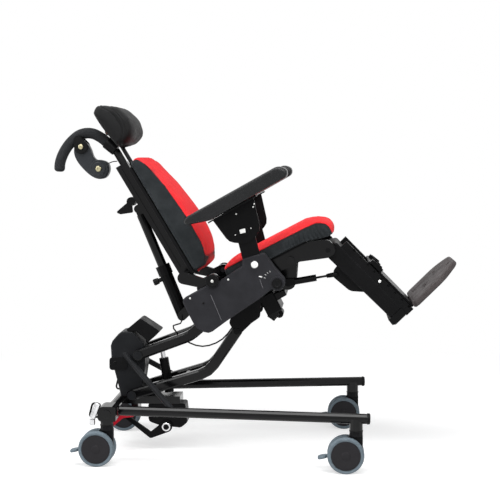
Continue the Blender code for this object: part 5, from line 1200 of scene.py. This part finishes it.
# %% Strut ring and knob
strut_foot, strut_head = SEAT.at(-0.3248, 0.0, 0.0476), BACK.at(-0.1028, 0.0, 0.2845)
strut_way = (strut_head - strut_foot).normalized()
ring = turned(strut_foot, strut_way, [(0.1300, 0.0141), (0.1300, 0.0194), (0.1306, 0.0200), (0.1492, 0.0200),
                                      (0.1498, 0.0194), (0.1498, 0.0141)], 48, closed=True)
piece("strut_ring", ring, "recline_housing", [polished_steel])
rearward = Vector((-strut_way.z, 0.0, strut_way.x))
strut_knob = turned(strut_foot + strut_way * 0.1200, rearward, [
    (0.0120, 0.0), (0.0120, 0.0065), (0.0260, 0.0062), (0.0280, 0.0090), (0.0400, 0.0100), (0.0430, 0.0086),
    (0.0436, 0.0)], 32)
piece("strut_knob", strut_knob, "recline_housing", [knob_black])
print("strut ring at", strut_foot + strut_way * 0.14)

# %% [markdown]
# ## Screws and small marks
#
# Screws, plugs and caps sit on the faces of the CAD solids. A ray sent in from the side finds how
# far out a face lies, so that each head stands on its own face. One button head with a hexagonal
# recess serves for all the screws: the tree puts it on every point and sizes it.

# %% Faces and heads
def outer_face(node, x, z, side):
    """How far from the middle plane a CAD solid's outer face lies, at a place in the side view."""
    if node not in face_trees:
        face_trees[node] = BVHTree.FromPolygons(*polygons_of(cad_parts[node].data))
    hit = face_trees[node].ray_cast(Vector((x, side * 0.6, z)), Vector((0.0, -side, 0.0)))[0]
    return abs(hit.y)


def polygons_of(data):
    return [v.co for v in data.vertices], [list(p.vertices) for p in data.polygons]


face_trees = {}


def on_face(lean, x, z, side, node, lift=0.0):
    """The place on a CAD solid's outer face at (x, z) of a leaning frame."""
    flat = lean.at(x, 0.0, z)
    return Vector((flat.x, side * (outer_face(node, flat.x, flat.z, side) + lift), flat.z))


def socket_head(sides=24):
    """A button head of radius 1 with a hexagonal recess, facing Z."""
    turns = [2.0 * math.pi * k / sides for k in range(sides)]
    hexagon = [0.52 * math.cos(math.pi / 6) / math.cos(t % (math.pi / 3) - math.pi / 6) for t in turns]
    rings = [[Vector((r * math.cos(t), r * math.sin(t), h)) for t in turns]
             for h, r in ((-0.30, 1.0), (0.18, 1.0), (0.40, 0.88), (0.52, 0.66))]
    rings += [[Vector((r * math.cos(t), r * math.sin(t), h)) for t, r in zip(turns, hexagon)] for h in (0.53, 0.16)]
    data = bpy.data.meshes.new("socket_head")
    bm = skin_rings(rings)
    bm.to_mesh(data)
    bm.free()
    obj = bpy.data.objects.new("socket_head", data)
    scene.collection.objects.link(obj)
    return obj


screw_head = socket_head()


def screws(name, body, finish, places):
    """One piece of many heads, from (place, facing, radius)."""
    data = bpy.data.meshes.new(name)
    data.from_pydata([tuple(p) for p, f, r in places], [], [])
    facings = [v for p, f, r in places for v in f]
    data.attributes.new("facing", "FLOAT_VECTOR", "POINT").data.foreach_set("vector", facings)
    data.attributes.new("size", "FLOAT", "POINT").data.foreach_set("value", [r for p, f, r in places])
    made = grown(name, heads_on_points, data, Head=screw_head, Finish=finish)
    return piece(name, made, body, [finish], smooth=35.0)


def outward(side):
    return (0.0, side, 0.0)


screws("hand_lever_bolts", "hand_lever", pale_brass, [
    (BACK.at(x, side * reach, z), outward(side), radius) for side in SIDES.values()
    for (x, z), reach, radius in ((LEVER_PIVOT, 0.0192, 0.0080), (LEVER_BOSS, 0.0216, 0.0088))])
print("screw head has", len(screw_head.data.polygons), "faces")

# %% [markdown]
# ## Side panels
#
# Each panel carries a white cover cap, three screws, the knurled recline knob on the axis, the
# cable dial near the front with its white pointer and ticks, and two moulding lines.

# %% Side panel fittings
RECLINE_PLACE, DIAL_PLACE = (-0.1763, 0.1055), (-0.0200, 0.0180)
TICK_CENTRE = (-0.0250, 0.0350)
TICKS = [((-0.0523, 0.0555), 0.0090, 0.0028), ((-0.0437, 0.0474), 0.0040, 0.0010), ((-0.0373, 0.0538), 0.0040, 0.0010),
         ((-0.0302, 0.0555), 0.0040, 0.0010), ((-0.0225, 0.0565), 0.0040, 0.0010)]
panel_screws, dark_screws, panel_lines = [], [], []
for word, side in SIDES.items():
    panel = f"side_panel_{word}"
    cap = turned(on_face(SEAT, -0.0517, 0.0926, side, panel, -0.001), outward(side),
                 [(0.0, 0.0), (0.0, 0.0098), (0.0016, 0.0098), (0.0024, 0.0086), (0.0027, 0.0)], 40)
    piece(f"panel_cap_{word}", cap, "seat", [plug_white])
    panel_screws += [(on_face(SEAT, x, z, side, panel), outward(side), 0.0030)
                     for x, z in ((-0.1357, 0.0888), (-0.2545, 0.0908))]
    flat = SEAT.at(RECLINE_PLACE[0], side * 0.1845, RECLINE_PLACE[1])
    recline_knob = lobed(flat, outward(side), [(0.0, 0.0184), (0.0008, 0.0192), (0.0096, 0.0190), (0.0114, 0.0176),
                                               (0.0118, 0.0110), (0.0108, 0.0100), (0.0108, 0.0)], 18, 0.06, 108)
    piece(f"recline_knob_{word}", recline_knob, "seat", [knob_black])
    flat = SEAT.at(DIAL_PLACE[0], side * 0.1845, DIAL_PLACE[1])
    dial = lobed(flat, outward(side), [(0.0, 0.0146), (0.0006, 0.0152), (0.0048, 0.0150), (0.0062, 0.0138),
                                       (0.0064, 0.0090), (0.0056, 0.0080), (0.0056, 0.0)], 12, 0.10, 96)
    piece(f"cable_dial_{word}", dial, "seat", [knob_black])
    panel_screws.append((SEAT.at(RECLINE_PLACE[0], side * 0.1955, RECLINE_PLACE[1]), outward(side), 0.0044))
    dark_screws.append((on_face(SEAT, -0.2275, 0.0618, side, panel), outward(side), 0.0030))
    ticks = bmesh.new()
    for (x, z), length, width in TICKS:
        facing = Vector((x - TICK_CENTRE[0], z - TICK_CENTRE[1])).normalized()
        at = on_face(SEAT, x, z, side, panel)
        lean = Lean(at.x, at.z, 27.0 + math.degrees(math.atan2(facing.y, facing.x)))
        box_mesh(lean, -length / 2.0, length / 2.0, at.y - side * 0.0005, at.y + side * 0.0004,
                 -width / 2.0, width / 2.0, ticks)
    piece(f"panel_ticks_{word}", ticks, "seat", [plug_white])
    for (x0, z0), (x1, z1) in (((-0.1987, 0.0737), (-0.2048, -0.0029)), ((-0.0575, 0.0500), (-0.0610, 0.0240))):
        panel_lines.append([on_face(SEAT, x0 + (x1 - x0) * k / 12, z0 + (z1 - z0) * k / 12, side, panel, 0.0001)
                            for k in range(13)])
screws("panel_screws", "seat", zinc_plate, panel_screws)
screws("panel_dark_screws", "seat", knob_black, dark_screws)
piece("panel_lines", grown("panel_lines", cord_on_line, line_mesh(panel_lines), Radius=0.0006, Step=0.003,
                           Finish=panel_mark), "seat", [panel_mark])
print(len(panel_screws), "screws on the side panels")

# %% [markdown]
# ## Armrest brackets
#
# The pad is screwed to its bracket from below, the bracket turns on the post, and a clip covers
# the pivot. Its plain white is a painted highlight: it stands for the shine on a bright metal clip.

# %% Bracket fittings
for word, side in SIDES.items():
    bracket_node, post_node = f"armrest_bracket_{word}", f"armrest_post_{word}"
    heads = [(on_face(PAD, x, z, side, bracket_node), outward(side), radius) for x, z, radius in (
        (0.0037, 0.0530, 0.0026), (0.0540, 0.0470, 0.0026), (0.0605, 0.0530, 0.0026), (0.0200, -0.0011, 0.0018),
        (-0.0271, 0.0037, 0.0018))]
    screws(f"bracket_screws_{word}", f"armrest_{word}", zinc_plate, heads)
    # painted highlight: the clip is plain white all over, standing for the shine on bright metal
    clip_at = on_face(POST, -0.0044, 0.1172, side, post_node)
    clip = box_mesh(Lean(clip_at.x, clip_at.z, 14.0), -0.0080, 0.0080, clip_at.y - side * 0.0010,
                    clip_at.y + side * 0.0012, -0.0058, 0.0058)
    mesh = with_modifiers(clip, "clip", ("BEVEL", {"width": 0.0012, "segments": 2}))
    piece(f"pivot_clip_{word}", mesh, f"armrest_post_{word}", [plug_white])
print("bracket fittings made")

# %% [markdown]
# ## Tower clamps and base fittings
#
# A clamp band with one bolt holds the pump's hose to the tower, each rail ends in a rounded plug,
# each caster stem has a collar, and the loops that take transport straps are chromed.

# %% Base fittings
tower_bits, tower_heads = bmesh.new(), []
for side in SIDES.values():
    reach = outer_face("tower_column", -0.3920, 0.2550, side)
    plate(rounded_outline([(x - MIDDLE_X, z, 0.009) for x, z in ((-0.4176, 0.2735), (-0.3649, 0.2737),
                                                                (-0.3654, 0.2360), (-0.4183, 0.2358))]),
          side * (reach - 0.002), side * (reach + 0.0022), BASE, 0.0008, tower_bits)
    tower_heads.append((Vector((-0.4013, side * (reach + 0.0022), 0.2585)), outward(side), 0.0048))
piece("tower_band", tower_bits, "base", [cast_black])
screws("tower_screws", "base", knob_black, tower_heads)

SPLAY = Vector((0.2720 + 0.4170, 0.2710 - 0.2215, 0.0)).normalized()
plugs, chrome = bmesh.new(), bmesh.new()
for side in SIDES.values():
    splay = Vector((SPLAY.x, side * SPLAY.y, 0.0))
    tip = Vector((0.3303, side * 0.27355, 0.1475))
    turned(tip, splay, [(-0.0060, 0.0), (-0.0060, 0.0150), (-0.0050, 0.0153), (0.0, 0.0150), (0.0022, 0.0132),
                        (0.0030, 0.0080), (0.0031, 0.0)], 40, plugs)
    top, low = Vector((-0.4146, side * 0.2360, 0.1781)), Vector((-0.4318, side * 0.2360, 0.1363))
    turned(low, top - low, [(0.0, 0.0), (0.0, 0.0078), (0.0008, 0.0086), (0.0438, 0.0086), (0.0446, 0.0078),
                            (0.0446, 0.0)], 32, chrome)
    turned(Vector((-0.4320, side * 0.2360, 0.1180)), (0.0, 0.0, 1.0),
           [(0.0, 0.0), (0.0, 0.0070), (0.0008, 0.0080), (0.0142, 0.0080), (0.0150, 0.0070), (0.0150, 0.0)], 32, chrome)
piece("rail_plugs", plugs, "base", [knob_black])
piece("tie_sleeves", chrome, "base", [polished_steel])
pivot_ring = turned((-0.2532, -0.0437, 0.0690), (0.0, -1.0, 0.0),
                    [(0.0, 0.0085), (0.0, 0.0125), (0.0022, 0.0125), (0.0028, 0.0118), (0.0028, 0.0085)], 40,
                    closed=True)
piece("pedal_pivot_ring", pivot_ring, "base", [polished_steel])
print("base fittings made")

# %% [markdown]
# ## Carriage plates
#
# Two thin plates join the front ends of the arms and carry the tilt axle at the end of a narrow
# tongue. A block between them stops the seat's tilt, with a second block above and in front of it.
# The plates are cut from one rounded outline; each arm hangs on a flat-headed pin.

# %% Carriage
CARRIAGE_OUTLINE = [(-0.0640, 0.3800, 0.014), (-0.0400, 0.3395, 0.012), (0.0003, 0.3789, 0.010), (0.0253, 0.3965, 0.012),
                    (0.0302, 0.4497, 0.010), (0.0520, 0.4740, 0.012), (0.1200, 0.4845, 0.010), (0.1180, 0.5120, 0.010),
                    (0.0450, 0.5040, 0.012), (-0.0350, 0.4900, 0.014), (-0.0390, 0.4620, 0.012), (-0.0480, 0.4250, 0.020)]
ARM_PINS = [(-0.0412, 0.3560), (-0.0212, 0.4730)]
carriage_cut = [(p.x - MIDDLE_X, p.y) for p in rounded_outline(CARRIAGE_OUTLINE)]
for word, side in SIDES.items():
    plates = plate(carriage_cut, side * 0.0703, side * 0.0762, BASE, 0.0008)
    for x, z in ARM_PINS:
        turned((x, side * 0.0430, z), outward(side), [
            (0.0, 0.0), (0.0, 0.0078), (0.0326, 0.0078), (0.0326, 0.0098), (0.0352, 0.0098), (0.0368, 0.0084),
            (0.0370, 0.0)], 36, plates)
    piece(f"carriage_side_{word}", plates, "carriage", [satin_black], [f"carriage_plate_{word}"])
stops = plate([(0.0470 - MIDDLE_X, 0.4105), (0.0700 - MIDDLE_X, 0.4165), (0.0796 - MIDDLE_X, 0.4012),
               (0.0649 - MIDDLE_X, 0.3834), (0.0459 - MIDDLE_X, 0.3965)], -0.0640, 0.0640, BASE, 0.0012)
plate([(0.0640 - MIDDLE_X, 0.4590), (0.0690 - MIDDLE_X, 0.4640), (0.0960 - MIDDLE_X, 0.4715), (0.1010 - MIDDLE_X, 0.4586),
       (0.0756 - MIDDLE_X, 0.4440), (0.0700 - MIDDLE_X, 0.4440)], -0.0660, 0.0660, BASE, 0.0012, stops)
piece("carriage_stops", stops, "carriage", [knob_black])
print("carriage plates cut from", len(carriage_cut), "points")

# %% [markdown]
# ## Caster collars and brake pedals
#
# A thin collar closes the gap between a fork's stem and its socket. The brake pedal is a rounded
# paddle on a short arm, pressed with the foot.

# %% Caster fittings
PADDLE = [(0.0037, 0.0), (0.0020, 0.0070), (-0.0240, 0.0072), (-0.0300, 0.0120), (-0.0420, 0.0140), (-0.0486, 0.0090),
          (-0.0498, 0.0), (-0.0486, -0.0090), (-0.0420, -0.0140), (-0.0300, -0.0120), (-0.0240, -0.0072), (0.0020, -0.0070)]
PADDLE_DROP = 0.19
for corner, stem_x, half_track in (("front", 0.2720, 0.2710), ("rear", -0.4170, 0.2215)):
    for word, side in SIDES.items():
        stem = BASE.at(stem_x, side * half_track, 0.0)
        ring = turned((stem.x, stem.y, 0.1130), (0.0, 0.0, 1.0), [(0.0, 0.0150), (0.0, 0.0184), (0.0006, 0.0190),
                                                                  (0.0026, 0.0190), (0.0030, 0.0184), (0.0030, 0.0150)],
                      48, closed=True)
        piece(f"stem_collar_{corner}_{word}", ring, f"caster_{corner}_{word}", [knob_black])
        brake_axis = Vector((stem.x - 0.028 - 0.0220 - 0.0003 - 0.00375, stem.y, 0.0500))
        rings = []
        for z, inset in ((-0.0038, 0.0016), (-0.0026, 0.0), (0.0018, 0.0), (0.0038, 0.0020)):
            rings.append([brake_axis + Vector((x * (1.0 - inset * 12.0), y * (1.0 - inset * 60.0), z + PADDLE_DROP * x))
                          for x, y in closed_line(PADDLE, 4)])
        pedal = skin_rings(rings)
        piece(f"brake_paddle_{corner}_{word}", pedal, f"brake_{corner}_{word}", [tyre_blue_grey],
              [f"caster_brake_{corner}_{word}"])
print("caster fittings made")

# %% [markdown]
# ## Legrest and footboard
#
# The leg ends in a moulded cap, and a white plug closes a hole in its side. The slider that carries
# the footboard wraps round the leg with an angled bracket. The footboard is one moulding: a thin
# board with a rounded toe, a row of holes, and a hinge barrel at its root. The leg strut's rod
# reaches further into its cylinder, so that it stays in there when the leg is raised.

# %% Leg fittings
leg_cap = plate([(-0.0185, -0.2600), (-0.0205, -0.2780), (-0.0120, -0.2840), (0.0260, -0.2840), (0.0310, -0.2780),
                 (0.0310, -0.2600)], -0.1155, 0.1155, LEG, 0.0016)
piece("leg_cap", leg_cap, "legrest", [cast_black])
for word, side in SIDES.items():
    slider = plate([(0.0450, -0.1090), (0.0705, -0.1150), (0.0735, -0.1420), (0.0600, -0.1520), (0.0450, -0.1350)],
                   side * 0.1000, side * 0.1036, LEG, 0.0010)
    piece(f"slider_bracket_{word}", slider, "foot_carrier", [satin_black])
    plug = turned(LEG.at(0.0405, side * 0.1115, -0.1652), outward(side),
                  [(0.0, 0.0), (0.0, 0.0042), (0.0014, 0.0042), (0.0022, 0.0033), (0.0024, 0.0)], 32)
    piece(f"leg_plug_{word}", plug, "legrest", [plug_white])
print("leg fittings made")

# % Leg strut rod
LEG_EYE, STRUT_Y = (-0.0350, -0.0660), -0.0960
strut_start, strut_eye = SEAT.at(0.0, STRUT_Y, 0.0), LEG.at(LEG_EYE[0], STRUT_Y, LEG_EYE[1])
strut_length = (strut_eye - strut_start).length
strut_rod = solid_copy("leg_strut_rod")
turned(strut_start, strut_eye - strut_start, [(0.0300, 0.0), (0.0300, 0.0031), (strut_length - 0.0170, 0.0031),
                                              (strut_length - 0.0170, 0.0)], 24, strut_rod)
piece("leg_strut_piston", strut_rod, "leg_strut_rod", [satin_black], ["leg_strut_rod"])
print("leg strut rod reaches back to 30 mm from the seat's axle")

# %% Footboard
BOARD_ROOT, BOARD_TIP, BOARD_HALF, BOARD_LOW, BOARD_TOP = 0.0676, 0.2300, 0.1400, -0.2870, -0.2710
BOARD_HOLES = [(0.0164, 0.0450), (0.0524, -0.0380), (0.0964, 0.0450), (0.1424, -0.0380)]
depth = BOARD_TIP - BOARD_ROOT
board_plan = rounded_outline([
    (BOARD_ROOT, -BOARD_HALF, 0.006), (BOARD_ROOT + depth * 0.66, -BOARD_HALF, 0.060),
    (BOARD_TIP, -BOARD_HALF * 0.55, 0.060), (BOARD_TIP, BOARD_HALF * 0.55, 0.060),
    (BOARD_ROOT + depth * 0.66, BOARD_HALF, 0.060), (BOARD_ROOT, BOARD_HALF, 0.006)], 6.0)
middle = Vector((BOARD_ROOT + depth * 0.5, 0.0))
rings = []
for z, inset in ((BOARD_LOW, 0.0060), (BOARD_LOW + 0.0015, 0.0025), (BOARD_LOW + 0.0040, 0.0), (BOARD_TOP - 0.0050, 0.0),
                 (BOARD_TOP - 0.0016, 0.0012), (BOARD_TOP - 0.0003, 0.0034), (BOARD_TOP, 0.0060)):
    rings.append([LEG.at(*(p + (middle - p).normalized() * inset), z) for p in board_plan])
board = skin_rings(rings)
holes = bmesh.new()
for x, y in BOARD_HOLES:
    centre = LEG.at(BOARD_ROOT + x, y, BOARD_LOW - 0.004)
    turned(centre, LEG.way(0.0, 0.0, 1.0), [(0.0, 0.0), (0.0, 0.0056), (0.0196, 0.0056), (0.0206, 0.0072), (0.0216, 0.0)],
           28, holes)
board = carved(board, holes)
turned(LEG.at(BOARD_ROOT, -0.1290, BOARD_LOW + 0.0080), SIDEWAYS,
       [(0.0, 0.0), (0.0, 0.0072), (0.0008, 0.0080), (0.2572, 0.0080), (0.2580, 0.0072), (0.2580, 0.0)], 32, board)
piece("footboard_moulded", board, "footboard", [foot_grey], ["footboard"], smooth=35.0)

# %% [markdown]
# ## Tag on the back cushion
#
# A plain black tag is sewn into the side seam of the back cushion, with nothing on it.

# %% Tag
TAG_MIDDLE, TAG_SIZE, TAG_LEAN = (-0.2702, 0.8362), (0.0145, 0.0310), 49.0
cover_tree = BVHTree.FromPolygons(*polygons_of(back_cover.data))
tag = bmesh.new()
tag_lean = Lean(*TAG_MIDDLE, TAG_LEAN)
rows_of_tag = []
for row in range(13):
    line = []
    for column in range(7):
        beside = tag_lean.at(TAG_SIZE[0] * (column / 6.0 - 0.5), -0.160, TAG_SIZE[1] * (row / 12.0 - 0.5))
        hit = cover_tree.ray_cast(beside, SIDEWAYS)[0]
        line.append(tag.verts.new(hit if hit is not None and hit.y < -0.115 else cover_tree.find_nearest(beside)[0]))
    rows_of_tag.append(line)
for below_row, above_row in zip(rows_of_tag, rows_of_tag[1:]):
    for k in range(6):
        tag.faces.new((below_row[k], below_row[k + 1], above_row[k + 1], above_row[k]))
tag_mesh = with_modifiers(tag, "tag", ("SOLIDIFY", {"thickness": 0.0024, "offset": 0.0}))
piece("cushion_tag", tag_mesh, "back", [cable_jacket])
bpy.data.meshes.remove(screw_head.data)
print("tag sewn at", tuple(round(c, 3) for c in tag_lean.at(0.0, 0.0, 0.0)), "with", len(tag_mesh.vertices), "points")

# %% [markdown]
# ## Floor and light
#
# The chair stands on a pale floor that runs out of sight. Seen by the camera, floor and
# surroundings are white, and the floor keeps the soft shadow under the wheels; far from the chair
# it fades to plain white, so that no horizon shows. Four large soft lamps light the object: one
# overhead, one in front and one from each side, which draw the long highlights on the tubes.

# %% Floor
floor_data = bpy.data.meshes.new("floor")
floor_data.from_pydata([(-30, -30, 0), (30, -30, 0), (30, 30, 0), (-30, 30, 0)], [], [(0, 1, 2, 3)])
floor = bpy.data.objects.new("floor", floor_data)
scene.collection.objects.link(floor)


def any_ray(nodes, links, rays):
    """One where a ray comes from the camera, a mirror or a clear thing, else zero."""
    total = rays.outputs["Is Camera Ray"]
    for kind in ("Is Glossy Ray", "Is Transmission Ray"):
        add = nodes.new("ShaderNodeMath")
        add.operation = "ADD"
        add.use_clamp = True
        links.new(total, add.inputs[0])
        links.new(rays.outputs[kind], add.inputs[1])
        total = add.outputs[0]
    return total


def floor_finish():
    material = bpy.data.materials.new("pale_floor")
    material.use_nodes = True
    nodes, links = material.node_tree.nodes, material.node_tree.links
    nodes.clear()
    paint = nodes.new("ShaderNodeBsdfDiffuse")
    paint.inputs["Color"].default_value = (0.60, 0.60, 0.60, 1.0)
    glow = nodes.new("ShaderNodeEmission")
    glow.inputs["Strength"].default_value = 0.56
    both = nodes.new("ShaderNodeAddShader")
    plain = nodes.new("ShaderNodeBsdfDiffuse")
    plain.inputs["Color"].default_value = (0.75, 0.75, 0.75, 1.0)
    rays = nodes.new("ShaderNodeLightPath")
    seen = any_ray(nodes, links, rays)
    choose = nodes.new("ShaderNodeMixShader")
    out = nodes.new("ShaderNodeOutputMaterial")
    white = nodes.new("ShaderNodeEmission")
    reach = nodes.new("ShaderNodeVectorMath")
    reach.operation = "LENGTH"
    links.new(nodes.new("ShaderNodeTexCoord").outputs["Object"], reach.inputs[0])
    fade = nodes.new("ShaderNodeMapRange")
    fade.inputs["From Min"].default_value, fade.inputs["From Max"].default_value = 0.9, 2.0
    links.new(reach.outputs["Value"], fade.inputs["Value"])
    fading = nodes.new("ShaderNodeMixShader")
    links.new(paint.outputs[0], both.inputs[0])
    links.new(glow.outputs[0], both.inputs[1])
    links.new(fade.outputs["Result"], fading.inputs[0])
    links.new(both.outputs[0], fading.inputs[1])
    links.new(white.outputs[0], fading.inputs[2])
    links.new(seen, choose.inputs[0])
    links.new(plain.outputs[0], choose.inputs[1])
    links.new(fading.outputs[0], choose.inputs[2])
    links.new(choose.outputs[0], out.inputs["Surface"])
    return material


floor_data.materials.append(floor_finish())
print("floor made")

# %% World
world = bpy.data.worlds.new("studio")
scene.world = world
world.use_nodes = True
sky = world.node_tree.nodes
sky.clear()
dim = sky.new("ShaderNodeBackground")
dim.inputs["Color"].default_value = (0.98, 0.99, 1.0, 1.0)
dim.inputs["Strength"].default_value = 0.32
white = sky.new("ShaderNodeBackground")
white.inputs["Color"].default_value = (1.0, 1.0, 1.0, 1.0)
rays = sky.new("ShaderNodeLightPath")
choose = sky.new("ShaderNodeMixShader")
out = sky.new("ShaderNodeOutputWorld")
join = world.node_tree.links.new
join(any_ray(sky, world.node_tree.links, rays), choose.inputs[0])
join(dim.outputs[0], choose.inputs[1])
join(white.outputs[0], choose.inputs[2])
join(choose.outputs[0], out.inputs["Surface"])
print("world made")


# %% Lamps
def lamp(name, place, target, size, power):
    data = bpy.data.lights.new(name, "AREA")
    data.shape = "RECTANGLE"
    data.size, data.size_y = size
    data.energy = power
    obj = bpy.data.objects.new(name, data)
    scene.collection.objects.link(obj)
    obj.location = place
    obj.rotation_euler = (Vector(target) - Vector(place)).to_track_quat("-Z", "Y").to_euler()
    obj.visible_camera = False
    return obj


lamp("overhead_box", (-0.3, -1.0, 2.9), (0.0, 0.0, 0.4), (3.4, 0.95), 76.0)
lamp("front_box", (-0.2, -3.1, 2.3), (0.0, 0.0, 0.5), (3.0, 0.50), 32.0)
lamp("left_box", (-2.6, -1.5, 1.6), (0.0, 0.0, 0.5), (0.70, 2.0), 32.0)
lamp("right_box", (2.0, -1.9, 2.3), (0.0, 0.0, 0.5), (0.90, 1.5), 24.0)
scene.view_settings.view_transform = "Standard"
print("lamps made")
